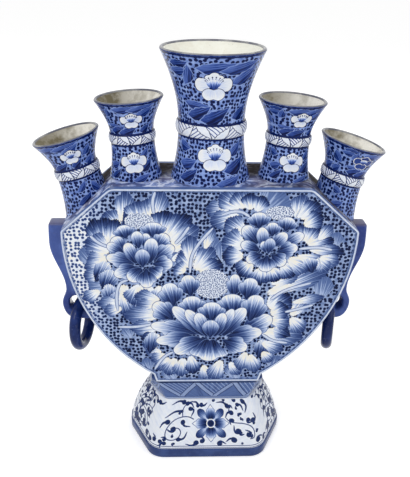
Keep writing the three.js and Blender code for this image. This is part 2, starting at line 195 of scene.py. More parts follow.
@dataclass(frozen=True)
class Leaf(Mark):
    """A pointed, bent leaf with a ragged edge."""

    bend: float
    point: ClassVar[float] = 2.4
    steps: ClassVar[int] = 14

    def local(self) -> list[Point]:
        """Returns the outline."""
        right, left = [], []
        for i in range(self.steps + 1):
            t = i / self.steps
            wide = math.sin(math.pi * t**0.85) ** 1.15 if 0 < i < self.steps else 0.0
            half = self.width / 2 * wide * (1 + 0.1 * math.cos(9 * math.pi * t))
            middle = self.bend * 4 * t * (1 - t)
            right.append((middle + half, t))
            left.append((middle - half, t))
        return right + left[-2:0:-1]


@dataclass(frozen=True)
class Kidney(Mark):
    """A broad petal with a dent at its root and at its tip."""

    def local(self) -> Iterator[Point]:
        """Yields the outline."""
        for turn in turns(28):
            dent = 1 - 0.34 * math.exp(-(math.sin(turn) / 0.32) ** 2)
            yield self.width / 2 * math.sin(turn), 0.5 - 0.5 * math.cos(turn) * dent


@dataclass(frozen=True)
class Comma(Mark):
    """A brushed comma: a round head at its base and a curved tail to its tip."""

    bend: float
    steps: ClassVar[int] = 20

    def local(self) -> list[Point]:
        """Returns the outline."""
        length = (Vector(self.tip) - Vector(self.base)).length
        head = min(self.width * 0.4, length * 0.35)
        path, halves = [], []
        for i in range(self.steps + 1):
            y = length * (i / self.steps) ** 1.2
            tail = max(0.0, (y - head) / (length - head))
            half = math.sqrt(max(0.0, head**2 - (y - head) ** 2))
            halves.append(max(half, (1 - tail) ** 0.5 if tail else 0.0))
            path.append(Vector((self.bend * math.sin(4.2 * tail), y)))
        right, left = sides(path, halves)
        return [(p.x, p.y / length) for p in right + left[-2:0:-1]]


def sides(path: Sequence[Vector], halves: Sequence[float]) -> tuple[list[Vector], list[Vector]]:
    """Gives a path its width.

    Args:
        path: its points.
        halves: half of the width at each point.

    Returns:
        The points of the right side and of the left side.
    """
    right, left = [], []
    for i, (point, half) in enumerate(zip(path, halves)):
        ahead = path[min(i + 1, len(path) - 1)] - path[max(i - 1, 0)]
        across = Vector((ahead.y, -ahead.x)).normalized() * half
        right.append(point + across)
        left.append(point - across)
    return right, left


def signed_area(points: Sequence[Vector]) -> float:
    """Returns a polygon's area, positive where it runs counter-clockwise."""
    return sum(a.cross(b) for a, b in round_pairs(points)) / 2


def shrunk(points: Sequence[Vector], distance: float) -> list[Vector]:
    """Moves an outline inwards.

    Args:
        points: the outline, counter-clockwise.
        distance: how far, in millimetres.

    Returns:
        The moved outline.
    """
    moved = []
    for i, point in enumerate(points):
        before = (point - points[i - 1]).normalized()
        after = (points[(i + 1) % len(points)] - point).normalized()
        middle = Vector((-before.y - after.y, before.x + after.x)).normalized()
        miter = max(0.5, middle.dot(Vector((-after.y, after.x))))
        moved.append(point + middle * (distance / miter))
    return moved


def clipped(points: Sequence[Vector], window: Sequence[Vector]) -> list[Vector]:
    """Cuts a polygon to a window.

    Args:
        points: the polygon.
        window: the window's corners, convex and counter-clockwise.

    Returns:
        What is left of the polygon, which may be nothing.
    """
    kept = list(points)
    for a, b in round_pairs(window):
        given, kept = kept, []
        for p, q in round_pairs(given):
            p_in, q_in = (b - a).cross(p - a), (b - a).cross(q - a)
            if p_in >= 0:
                kept.append(p)
            if (p_in >= 0) != (q_in >= 0):
                kept.append(p.lerp(q, p_in / (p_in - q_in)))
        if len(kept) < 3:
            return []
    return kept


def smooth_path(points: Sequence[Point]) -> list[Vector]:
    """Rounds a path at the points between its ends.

    Args:
        points: the path's points.

    Returns:
        The rounded path.
    """
    path = [Vector(p) for p in points]
    for _ in range(2 if len(path) > 2 else 0):
        cut = [path[0]]
        for a, b in zip(path, path[1:]):
            cut += [a.lerp(b, 0.25), a.lerp(b, 0.75)]
        path = [*cut, path[-1]]
    return path


@dataclass(frozen=True)
class Stroke:
    """A shape on a canvas with the frame and ink that it is painted in."""

    outline: Sequence[Vector]
    base: Vector
    along: Vector
    half_width: float
    ink: Ink

    def place(self, point: Vector) -> Point:
        """Returns a point in the stroke's own frame: across, and along from root to tip."""
        offset = point - self.base
        length = self.along.length
        across = Vector((self.along.y, -self.along.x)) / length
        return offset.dot(across) / self.half_width, offset.dot(self.along) / length**2


@dataclass(frozen=True)
class Zigzag:
    """The look of a hatched zigzag: its broad line, that line's edges and the hatching."""

    width: float
    bend: float
    edge_width: float
    band: Ink
    edge: Ink
    hatch: Ink
    hatch_width: float
    lines: int
    even: bool = False  # of even width and hatched only above, not pointed and hatched all over
    curve: float = 0.0  # how far the hatching bends


@dataclass
class Canvas:
    """A flat field, in millimetres, on which strokes are laid over each other."""

    field_outline: Sequence[Vector]
    ground: Ink = GROUND
    window: Sequence[Vector] = ()  # the convex part that strokes are cut to
    columns: Sequence[float] = ()
    rows: Sequence[float] = ()
    strokes: list[Stroke] = field(default_factory=list)
    margin: ClassVar[float] = 0.3

    @classmethod
    def unrolled(cls, columns: Sequence[float], rows: Sequence[float], ground: Ink) -> "Canvas":
        """Returns an oblong canvas that is cut along columns and rows, to be bent round."""
        outline = [Vector((x, rows[0])) for x in columns]
        outline += [Vector((x, rows[-1])) for x in reversed(columns)]
        return cls(outline, ground, columns=columns, rows=rows)

    def fill(self, outline: Sequence[Vector], base: Point, tip: Point, half_width: float,
             ink: Ink) -> None:
        """Lays a filled outline over what is there.

        Args:
            outline: the shape.
            base: where its own frame starts.
            tip: where that frame ends.
            half_width: half of its width.
            ink: how it is painted.
        """
        turned = list(outline) if signed_area(outline) > 0 else list(outline)[::-1]
        cut = clipped(turned, shrunk(self.window or self.field_outline, self.margin))
        if len(cut) > 2 and signed_area(cut) > LEAST_AREA:
            along = Vector(tip) - Vector(base)
            self.strokes.append(Stroke(cut, Vector(base), along, half_width, ink))

    def cover(self, outline: Sequence[Vector], ink: Ink) -> None:
        """Lays an even coat inside an outline that lies well in the field."""
        low, high = outline[0], outline[len(outline) // 2]
        self.strokes.append(Stroke(outline, low, high - low, 1.0, ink))

    def ring(self, low: float, high: float, ink: Ink) -> None:
        """Paints a band right across an unrolled canvas, from low to high."""
        left, right = self.columns[0], self.columns[-1]
        corners = ((left, low), (right, low), (right, high), (left, high))
        self.cover([Vector(p) for p in corners], ink)

    def mark(self, shape: Mark, ink: Ink, edge: Ink | None = None,
             edge_width: float = 0.0) -> None:
        """Paints a shape.

        Args:
            shape: the shape.
            ink: how it is filled.
            edge: the ink of a line round it, where it has one.
            edge_width: that line's width.
        """
        if edge:
            self.mark(shape, edge)
            shape = shape.inset(edge_width)
        self.fill(shape.outline(), shape.base, shape.tip, shape.width / 2, ink)

    def line(self, points: Sequence[Point], width: float, ink: Ink,
             tapered: bool = False) -> None:
        """Draws a line through points.

        Args:
            points: the points.
            width: the line's width.
            ink: its ink.
            tapered: whether it thins out towards its ends.
        """
        path = smooth_path(points)
        last = len(path) - 1
        thin = [min(1.0, 0.3 + 3.5 * min(i, last - i) / last) for i in range(last + 1)]
        right, left = sides(path, [width / 2 * (t if tapered else 1.0) for t in thin])
        self.fill(right + left[::-1], points[0], points[-1], width / 2, ink)

    def zigzag(self, low: float, high: float, cells: int, look: Zigzag) -> None:
        """Fills a band of an unrolled canvas with a broad zigzag between hatched triangles.

        Args:
            low: the band's lower edge.
            high: its upper edge.
            cells: the number of whole triangles along it.
            look: the inks and widths.
        """
        left, right = self.columns[0], self.columns[-1]
        step = Vector(((right - left) / cells, 0))
        for i in range(cells):
            foot = Vector((left + i * step.x, low))
            top = Vector((foot.x + step.x / 2, high))
            next_foot, next_top = foot + step, top + step
            for k in range(1, look.lines + 1):
                t = k / (look.lines + 1)
                ends = [(top.lerp(next_top, t), next_foot.lerp(next_top, t)),
                        (foot.lerp(next_foot, t), top.lerp(next_foot, t))]
                for a, b in ends[:1] if look.even else ends:
                    middle = (a + b) / 2 + Vector((look.curve, look.curve / 2))
                    self.line([tuple(a), tuple(middle), tuple(b)], look.hatch_width, look.hatch)
            for a, b, bend in ((foot, top, look.bend), (top, next_foot, -look.bend)):
                if look.even:
                    path = [tuple(a), tuple((a + b) / 2 + Vector((bend, bend))), tuple(b)]
                    self.line(path, look.width, look.edge)
                    self.line(path, look.width - 2 * look.edge_width, look.band)
                else:
                    self.mark(Leaf(tuple(a), tuple(b), look.width, bend), look.band, look.edge,
                              look.edge_width)

    def triangles(self) -> tuple[list[Vector], list[tuple[list[int], Stroke | None]]]:
        """Cuts the field along every stroke's outline.

        Returns:
            The points, and the triangles with the topmost stroke over each.
        """
        points: list[Vector] = []
        faces: list[list[int]] = []
        for outline in [self.field_outline, *(s.outline for s in self.strokes)]:
            faces.append(list(range(len(points), len(points) + len(outline))))
            points.extend(outline)
        start, wide, high = len(points), len(self.columns), len(self.rows)
        points.extend(Vector((x, y)) for y in self.rows for x in self.columns)
        grid = [[start + j * wide + i for i in range(wide)] for j in range(high)]
        edges = [pair for row in grid for pair in zip(row, row[1:])]
        edges += [pair for row, above in zip(grid, grid[1:]) for pair in zip(row, above)]
        cut, _, cells, _, _, owners = delaunay_2d_cdt(points, edges, faces, 1, 1e-4, True)
        kept = []
        for cell, owner in zip(cells, owners):
            if 0 in owner:
                top = max(owner)
                kept.append((list(cell), self.strokes[top - 1] if top else None))
        return list(cut), kept


def linked(name: str, data: object) -> Object:
    """Returns a new object in the scene."""
    made = bpy.data.objects.new(name, data)
    bpy.context.scene.collection.objects.link(made)
    return made


class Skin:
    """A mesh in the making, with the layers that the paint is read from."""

    def __init__(self, bm: BMesh | None = None) -> None:
        """Gives a mesh its layers.

        Args:
            bm: a mesh in millimetres, or None for an empty one.
        """
        self.bm = bm or bmesh.new()
        self.stroke = self.bm.loops.layers.uv.new("stroke")
        self.surface = self.bm.loops.layers.uv.new("surface")
        self.ink = self.bm.loops.layers.float_color.new("ink")
        self.pattern = self.bm.faces.layers.float.new("pattern")

    def paint(self, face: BMFace, points: Sequence[Point], stroke: Stroke | None,
              ground: Ink) -> None:
        """Writes a face's paint.

        Args:
            face: the face.
            points: its corners on the canvas.
            stroke: the stroke over it, or None for the bare ground.
            ground: the ground's ink.
        """
        ink = stroke.ink if stroke else ground
        face[self.pattern] = ink.pattern.value
        for loop, (x, y) in zip(face.loops, points):
            loop[self.stroke].uv = stroke.place(Vector((x, y))) if stroke else (x / 20, y / 20)
            loop[self.surface].uv = (x / 100, y / 100)
            loop[self.ink] = (ink.root, ink.tip, ink.streaks, ink.run.value)

    def add_canvas(self, canvas: Canvas, wrap: Callable[[Vector], Vector]) -> None:
        """Adds a canvas's triangles, wrapped round their piece.

        Args:
            canvas: the painted canvas.
            wrap: takes a point of the canvas to its place, in millimetres.
        """
        points, cells = canvas.triangles()
        verts = [self.bm.verts.new(wrap(p)) for p in points]
        for cell, stroke in cells:
            face = self.bm.faces.new([verts[i] for i in cell])
            self.paint(face, [tuple(points[i]) for i in cell], stroke, canvas.ground)
        loose = [v for v in verts if not v.link_faces]
        bmesh.ops.delete(self.bm, geom=loose, context="VERTS")

    def paint_rest(self, faces: Iterable[BMFace], ink: Ink,
                   lay: Callable[[Vector], Point]) -> None:
        """Paints faces in one ink, each corner laid on a canvas by lay."""
        for face in faces:
            self.paint(face, [lay(v.co) for v in face.verts], None, ink)

    def finish(self, name: str, materials: Sequence[Material], body: str, slot: str,
               node: str) -> Object:
        """Makes the mesh an object that rides on a body.

        Args:
            name: the object's name.
            materials: its materials.
            body: the body that it rides on.
            slot: not used.
            node: the CAD node that it stands for.

        Returns:
            The object.
        """
        bmesh.ops.remove_doubles(self.bm, verts=self.bm.verts, dist=WELD)
        bmesh.ops.dissolve_degenerate(self.bm, dist=WELD / 2, edges=self.bm.edges)
        bmesh.ops.scale(self.bm, vec=Vector((MM, MM, MM)), verts=self.bm.verts)
        mesh = bpy.data.meshes.new(name)
        self.bm.to_mesh(mesh)
        self.bm.free()
        mesh.shade_smooth()
        mesh.set_sharp_from_angle(angle=math.radians(35.0))
        for material in materials:
            mesh.materials.append(material)
        piece = linked(name, mesh)
        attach(piece, body)
        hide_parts(node)
        LOG.info("%s: %d faces", name, len(mesh.polygons))
        return piece


# Finishes

class Value:
    """A shader socket that takes part in Python arithmetic."""

    def __init__(self, graph: "Graph", socket: NodeSocket) -> None:
        """Wraps a socket of a graph."""
        self.graph = graph
        self.socket = socket

    def maths(self, operation: str, *others: object, flip: bool = False) -> "Value":
        """Adds a Math node.

        Args:
            operation: what the node does.
            others: the other values.
            flip: whether this value comes last.

        Returns:
            The node's result.
        """
        values = [*others, self] if flip else [self, *others]
        return self.graph.value("Math", dict(enumerate(values)), operation=operation)

    __add__ = __radd__ = partialmethod(maths, "ADD")
    __sub__ = partialmethod(maths, "SUBTRACT")
    __rsub__ = partialmethod(maths, "SUBTRACT", flip=True)
    __mul__ = __rmul__ = partialmethod(maths, "MULTIPLY")
    __truediv__ = partialmethod(maths, "DIVIDE")
    __pow__ = partialmethod(maths, "POWER")
    __abs__ = partialmethod(maths, "ABSOLUTE")
    at_least = partialmethod(maths, "MAXIMUM")
    at_most = partialmethod(maths, "MINIMUM")

    def step(self, low: float, high: float) -> "Value":
        """Returns a smooth step from 0 at low to 1 at high."""
        return self.graph.value("MapRange", {"Value": self, "From Min": low, "From Max": high},
                                interpolation_type="SMOOTHSTEP")

    def told_apart(self) -> tuple["Value", "Value"]:
        """Returns 1 or 0 for whether the value is 1, and for whether it is a half."""
        whole = self.step(0.74, 0.76)
        return whole, self.step(0.24, 0.26) - whole


class Graph:
    """The nodes of a material or a world."""

    def __init__(self, owner: Material | World) -> None:
        """Starts a new material or world with no nodes."""
        owner.use_nodes = True
        self.owner = owner
        self.tree = owner.node_tree
        self.tree.nodes.clear()

    def node(self, kind: str, inputs: dict | None = None, **settings: object) -> Node:
        """Adds a node.

        Args:
            kind: the node's type, without ShaderNode.
            inputs: constants, values or sockets for its inputs, by name or number.
            settings: its properties.

        Returns:
            The node.
        """
        made = self.tree.nodes.new("ShaderNode" + kind)
        for key, setting in settings.items():
            setattr(made, key, setting)
        for key, given in (inputs or {}).items():
            if isinstance(given, (Value, NodeSocket)):
                socket = given.socket if isinstance(given, Value) else given
                self.tree.links.new(socket, made.inputs[key])
            else:
                made.inputs[key].default_value = given
        return made

    def value(self, kind: str, inputs: dict | None = None, out: int | str = 0,
              **settings: object) -> Value:
        """Returns an output, by name or number, of a node that is given as in node()."""
        return Value(self, self.node(kind, inputs, **settings).outputs[out])

    def split(self, whole: object, kind: str = "XYZ") -> list[Value]:
        """Returns a vector's or a colour's three values."""
        return [Value(self, out) for out in self.node("Separate" + kind, {0: whole}).outputs]

    def noise(self, vector: object, scale: float, detail: float = 2.0,
              rough: float = 0.5) -> Value:
        """Returns noise from 0 to 1 over a vector."""
        return self.value("TexNoise", {"Vector": vector, "Scale": scale, "Detail": detail,
                                       "Roughness": rough}, "Fac")

    def warped(self, vector: object, scale: float, detail: float, reach: float) -> Value:
        """Returns a vector that noise pushes about in x and y."""
        push = self.value("TexNoise", {"Vector": vector, "Scale": scale, "Detail": detail},
                          "Color")
        return self.value("VectorMath", {0: push, 1: (reach, reach, 0.0), 2: vector},
                          operation="MULTIPLY_ADD")

    def scattered(self, vector: object, scale: float, randomness: float) -> Value:
        """Returns the distance to the nearest of many scattered points."""
        return self.value("TexVoronoi", {"Vector": vector, "Scale": scale,
                                         "Randomness": randomness},
                          "Distance", voronoi_dimensions="2D")

    def coats(self, colour: object, *coats: tuple[Value, object]) -> Value:
        """Lays colours over a colour, one after the other.

        Args:
            colour: the lowest colour.
            coats: the others, each with its share.

        Returns:
            The colour that is seen.
        """
        for share, coat in coats:
            colour = self.value("Mix", {0: share, 6: colour, 7: coat}, 2, data_type="RGBA")
        return colour


def srgb(red: int, green: int, blue: int) -> Colour:
    """Returns a colour given as it looks on a screen, from 0 to 255, as light."""
    shares = [c / 255 for c in (red, green, blue)]
    return (*(c / 12.92 if c <= 0.04045 else ((c + 0.055) / 1.055) ** 2.4 for c in shares), 1.0)


@dataclass(frozen=True)
class Glaze:
    """How a glaze shines: its roughness, reflection and clear coat, and how uneven it lies."""

    roughness: float = 0.2
    shine: float = 0.1
    coat: float = 0.03
    ripple: float = 0.04


@dataclass(frozen=True)
class Finish(ABC):
    """A glazed material."""

    name: str
    glaze: ClassVar[Glaze] = Glaze()

    @abstractmethod
    def colour(self, graph: Graph, place: Value) -> Value:
        """Works out the colour under the glaze.

        Args:
            graph: the material's graph.
            place: the object's own coordinates.

        Returns:
            The colour.
        """

    def build(self) -> Material:
        """Returns the material."""
        graph = Graph(bpy.data.materials.new(self.name))
        place = graph.value("TexCoord", out="Object")
        height = graph.noise(place, 90.0) + graph.noise(place, 900.0) * 0.12
        bump = graph.value("Bump", {"Strength": self.glaze.ripple, "Distance": 0.001,
                                    "Height": height})
        rough = self.glaze.roughness + (graph.noise(place, 35.0, 3.0) - 0.5) * 0.1
        surface = graph.value("BsdfPrincipled", {
            "Base Color": self.colour(graph, place), "Roughness": rough,
            "Specular IOR Level": self.glaze.shine, "Coat Weight": self.glaze.coat,
            "Coat Roughness": 0.06, "Normal": bump})
        graph.node("OutputMaterial", {0: surface})
        return graph.owner


@dataclass(frozen=True)
class PaintedPorcelain(Finish):
    """Cobalt painting under a clear glaze, read from the strokes' layers."""

    dot_pitch: float = 36.5  # dots in a tenth of a metre
    tones: tuple[Colour, ...] = (  # evenly from bare white to darkest cobalt
        srgb(240, 244, 250), srgb(170, 188, 224), srgb(92, 116, 168), srgb(40, 62, 118),
        srgb(0, 14, 54))

    def colour(self, graph: Graph, place: Value) -> Value:
        """Works out the painting's colour.

        Args:
            graph: the material's graph.
            place: not used, since the painting lies on its canvas.

        Returns:
            The colour.
        """
        ink = graph.node("Attribute", attribute_name="ink")
        root, tip, streaks = graph.split(ink.outputs["Color"], "Color")
        surface = graph.value("UVMap", uv_map="surface")
        run, hairs = self.brush(graph, Value(graph, ink.outputs["Alpha"]))
        wash = graph.noise(surface, 22.0, 3.0) - 0.5
        tone = root + (tip - root) * run + hairs * streaks + wash * 0.1
        pattern = graph.value("Attribute", out="Fac", attribute_name="pattern")
        dotted, stippled = pattern.told_apart()
        tone = (tone * (1 - dotted - stippled) + self.dots(graph, surface, wash) * dotted
                + self.stipple(graph, surface) * stippled)
        ramp = graph.node("ValToRGB", {0: tone.at_least(0.0)})
        stops = ramp.color_ramp.elements
        ramp.color_ramp.interpolation = "EASE"
        while len(stops) < len(self.tones):
            stops.new(1.0)
        for i, tint in enumerate(self.tones):
            stops[i].position = i / (len(self.tones) - 1)
            stops[i].color = tint
        warm = (0.08 - tone).step(0.0, 0.14) * graph.noise(surface, 9.0).step(0.35, 0.65)
        return graph.coats(ramp.outputs[0], (warm * 0.75, srgb(244, 238, 220)))

    def brush(self, graph: Graph, run: Value) -> tuple[Value, Value]:
        """Works out a point's place along its stroke's tones, and the brush's hairs there.

        Args:
            graph: the material's graph.
            run: the way that the tones run, as a value of Run.

        Returns:
            The place, from 0 to 1, and the hairs, about 0.
        """
        x, y, _ = graph.split(graph.value("UVMap", uv_map="stroke"))
        across, margin = run.told_apart()
        behind, slope = 0.3, 0.5  # where the rays meet, below the root, and how wide they spread
        reach = (x * x * slope**2 + (y + behind) ** 2.0) ** 0.5 - behind
        angle = x * slope / (y + behind).at_least(0.05)
        radial = reach.step(0.0, 1.0) ** 1.55
        to_margin = radial.at_least(abs(x).step(0.35, 1.1) * reach.step(0.1, 0.7))
        place = radial * (1 - across - margin) + abs(x) * across + to_margin * margin
        hair = graph.value("CombineXYZ", {
            0: angle * 21.0 * (1 - across) + x * 5.0 * across, 1: reach * 1.2, 2: 3.0})
        return place, graph.noise(hair, 1.0, 3.0, 0.55).step(0.3, 0.7) - 0.5

    def dots(self, graph: Graph, surface: Value, wash: Value) -> Value:
        """Returns the tone of the dotted ground, with painted light that makes it paler and its
        dots smaller towards the left.
        """
        # painted light: the ground grows paler, with smaller dots, towards the left
        light = (0 - graph.split(surface)[0]).step(0.62, 0.95)
        bent = graph.warped(surface, 60.0, 1.0, 0.004)
        reach = graph.scattered(bent, self.dot_pitch, 0.6) + light * 0.04
        return (1 - reach.step(0.33, 0.44)) * 0.64 + 0.37 - light * 0.33 + wash * 0.42

    def stipple(self, graph: Graph, surface: Value) -> Value:
        """Returns the tone of the fine stippling."""
        reach = graph.scattered(surface, self.dot_pitch * 2.6, 0.9)
        return (1 - reach.step(0.2, 0.42)) * 0.62 + 0.08


@dataclass(frozen=True)
class MottledGlaze(Finish):
    """The shoulder: greyed blue with brown patches, scribbled darker lines and painted shade about
    the spouts.
    """

    glaze: ClassVar[Glaze] = Glaze(roughness=0.24, shine=0.0, coat=0.06)

    def colour(self, graph: Graph, place: Value) -> Value:
        """Works out the mottled colour: brown glaze behind the spouts, with painted shade there, on
        the right and in the gaps between the spouts' bases.

        Args:
            graph: the material's graph.
            place: the object's own coordinates.

        Returns:
            The colour.
        """
        patches = graph.noise(place, 70.0, 4.0, 0.6).step(0.4, 0.64)
        blots = graph.noise(place, 150.0, 3.0, 0.6).step(0.45, 0.6)
        cloud = graph.noise(place, 330.0, 3.0, 0.65)
        wave = graph.value("TexWave", {
            "Vector": graph.warped(place, 40.0, 2.0, 0.03), "Scale": 62.0, "Distortion": 7.0,
            "Detail": 2.0, "Detail Scale": 2.0}, "Fac", wave_type="RINGS", rings_direction="Y")
        x, y, _ = graph.split(place)
        # the glaze's own brown behind the spouts, with painted shade deepening it there and on the
        # right
        behind = y.step(-0.014, 0.01).at_least(x.step(0.02, 0.07) * 0.5)
        # distance to the gaps between the spouts' bases, where shade is painted
        notch = abs(abs(x) - 0.036).at_most(abs(abs(x) - 0.079))
        return graph.coats(
            srgb(134, 154, 208),
            (patches, srgb(144, 142, 168)),
            (cloud.step(0.42, 0.7) * 0.7, srgb(188, 198, 228)),
            (wave.step(0.66, 0.9) * 0.7, srgb(50, 60, 112)),
            ((1 - wave).step(0.76, 0.95) * 0.85, srgb(226, 234, 252)),
            # brown glaze and painted shade, behind the spouts and on the right
            (behind * 0.85, srgb(66, 54, 46)),
            # painted shade in the gaps between the spouts' bases
            ((1 - notch.step(0.002, 0.012)) * behind * 0.7, srgb(40, 32, 26)),
            # dark blots, stronger behind the spouts and on the right
            (blots * (behind * 0.6 + 0.15), srgb(30, 24, 22)))


@dataclass(frozen=True)
class CobaltGlaze(Finish):
    """Solid cobalt, paler in clouds, with painted light on the left lug's upper strap and browner
    on worn places.
    """

    deep: Colour
    thin: Colour
    rise: float = 0.0  # how much light is painted on the left lug's upper strap, and how brown the lugs' tops are
    glaze: ClassVar[Glaze] = Glaze(roughness=0.13, coat=0.12, ripple=0.06)

    def colour(self, graph: Graph, place: Value) -> Value:
        """Works out the cobalt's colour.

        Args:
            graph: the material's graph.
            place: the object's own coordinates.

        Returns:
            The colour.
        """
        cloud = graph.noise(place, 70.0, 4.0, 0.6).step(0.4, 0.7)
        fleck = graph.noise(place, 420.0, 3.0, 0.6).step(0.6, 0.72)
        x, _, height = graph.split(place)
        left = (0 - x).step(0.0, 0.05)
        # paler clouds, and painted light on the left lug's strap above about 115 mm
        thin = (cloud * 0.7 + height.step(0.115, 0.14) * left * self.rise).at_most(1.0)
        return graph.coats(self.deep, (thin, self.thin),
                           (height.step(0.1745, 0.1768) * self.rise, srgb(122, 112, 112)),
                           (fleck * 0.35, srgb(96, 104, 140)))


@dataclass(frozen=True)
class CreamGlaze(Finish):
    """The cream-white inside, greyer in the small spouts, whose bores get painted shade on the
    left.
    """

    cream: Colour
    # the clouds' colour, which is also the colour of the painted shade
    brown: Colour
    # how strongly painted shade darkens the bore towards its left
    bore_shade: float = 0.0
    glaze: ClassVar[Glaze] = Glaze(roughness=0.28, coat=0.03)

    def colour(self, graph: Graph, place: Value) -> Value:
        """Works out the cream's colour.

        Args:
            graph: the material's graph.
            place: the object's own coordinates.

        Returns:
            The colour.
        """
        across = graph.split(graph.value("UVMap", uv_map="surface"))[0]
        # painted shade on the left side of the bore
        left = 1 - across.step(-0.2, 0.16)
        cloud = graph.noise(place, 80.0, 4.0, 0.65).step(0.42, 0.68)
        specks = graph.noise(place, 700.0).step(0.66, 0.74)
        return graph.coats(self.cream, ((cloud * 0.45 + left * self.bore_shade).at_most(1.0), self.brown),
                           (specks * 0.3, srgb(150, 130, 104)))


# The painting's layout, in millimetres on each canvas

# Petals and leaves: root x and z, tip x and z, width and lobes or ink
LARGE_PEONY = (
    (-13.1, 130.8, -16.1, 148.3, 17.5, 3), (17.5, 130, 17.5, 149, 13.3, 3),
    (26.1, 128.3, 29.6, 145.9, 18.3, 3), (-25.2, 122.8, -29.4, 142, 20, 3),
    (-25.2, 112.1, -39.4, 126.1, 18.3, 3), (22.9, 101.9, 45.5, 114.3, 20, 3),
    (-11.5, 115.4, -13.2, 131.6, 22.5, 3), (16.5, 116.1, 15.2, 133.2, 25, 3),
    (29.1, 110.3, 34.5, 132.3, 21.7, 3), (1.5, 110.4, 1.9, 126.8, 22.5, 3),
    (-6.3, 100.4, -41.7, 108.1, 15.8, 3), (12.7, 98.6, 38.9, 101.8, 16.7, 3),
    (-6.2, 97.8, -38.2, 94.6, 15, 3), (9.9, 95.2, 28.6, 87.4, 16.7, 3),
    (-2.6, 98.7, -25.9, 122.8, 13.3, 2), (-0.4, 98.6, -16.6, 120.3, 11.7, 2),
    (9.8, 98.6, 25.7, 121.8, 14.2, 2), (6.9, 98.6, 17.1, 121, 10.8, 2),
    (-0.4, 97.8, -8.7, 117.8, 12.5, 2), (4, 97.8, 10.7, 117.8, 11.7, 2),
    (-0.4, 96.9, -25.1, 85.1, 18.3, 3), (1.1, 96.9, 0.1, 77.1, 30, 4),
    (1.1, 96.1, 1.5, 112, 14.2, 1),
)
LEFT_PEONY = (
    (-57.9, 175.6, -60.3, 185.9, 16.7, 3), (-39.6, 176.4, -39.4, 188.2, 20, 3),
    (-37.6, 168.2, -30, 179.4, 15, 3), (-45.1, 168.9, -44.3, 180.1, 9.2, 2),
    (-59.5, 165.9, -66.6, 177.1, 13.3, 2), (-59.5, 164.4, -70.9, 171.9, 10, 2),
    (-49.2, 167.4, -51, 181.6, 10, 1), (-51.5, 157.5, -71.9, 162.1, 13.3, 3),
    (-39.7, 159.8, -25.3, 170.5, 14.2, 3), (-40.4, 156.8, -25.9, 156.8, 15, 3),
    (-50.8, 156.8, -58, 172.7, 11.7, 2), (-42.5, 156.8, -40.2, 176.4, 13.3, 2),
    (-48.8, 154.5, -66.9, 148.3, 14.2, 3), (-42.5, 154.5, -35, 145.9, 15.8, 3),
    (-47.4, 153.7, -56.6, 143.6, 14.2, 2), (-44.6, 153.7, -44.2, 138.1, 15.8, 3),
    (-46.7, 152.9, -47.2, 168.2, 11.7, 1),
)
RIGHT_PEONY = (
    (32.6, 183.2, 32, 195.7, 18.3, 3), (50.6, 181.1, 53.3, 192.1, 15.8, 3),
    (41.9, 177.3, 41.9, 188.4, 13.3, 3), (47.8, 170.6, 63.8, 179.6, 11.7, 2),
    (32.5, 172, 22.2, 185.4, 13.3, 2), (34.1, 166.8, 20.7, 172.8, 10.8, 2),
    (45.3, 166, 60.4, 169.8, 13.3, 3), (36.9, 166.8, 34.6, 184.7, 10, 1),
    (41.6, 169, 52, 180.3, 10, 1), (36.3, 164.5, 24.8, 159.1, 12.5, 3),
    (41.9, 164.5, 52.2, 156, 14.2, 3), (39.2, 163.7, 38.5, 150.6, 16.7, 3),
    (38.4, 164.5, 35.8, 174.3, 6.7, 1), (39.9, 163.7, 41.2, 176.6, 9.2, 1),
)
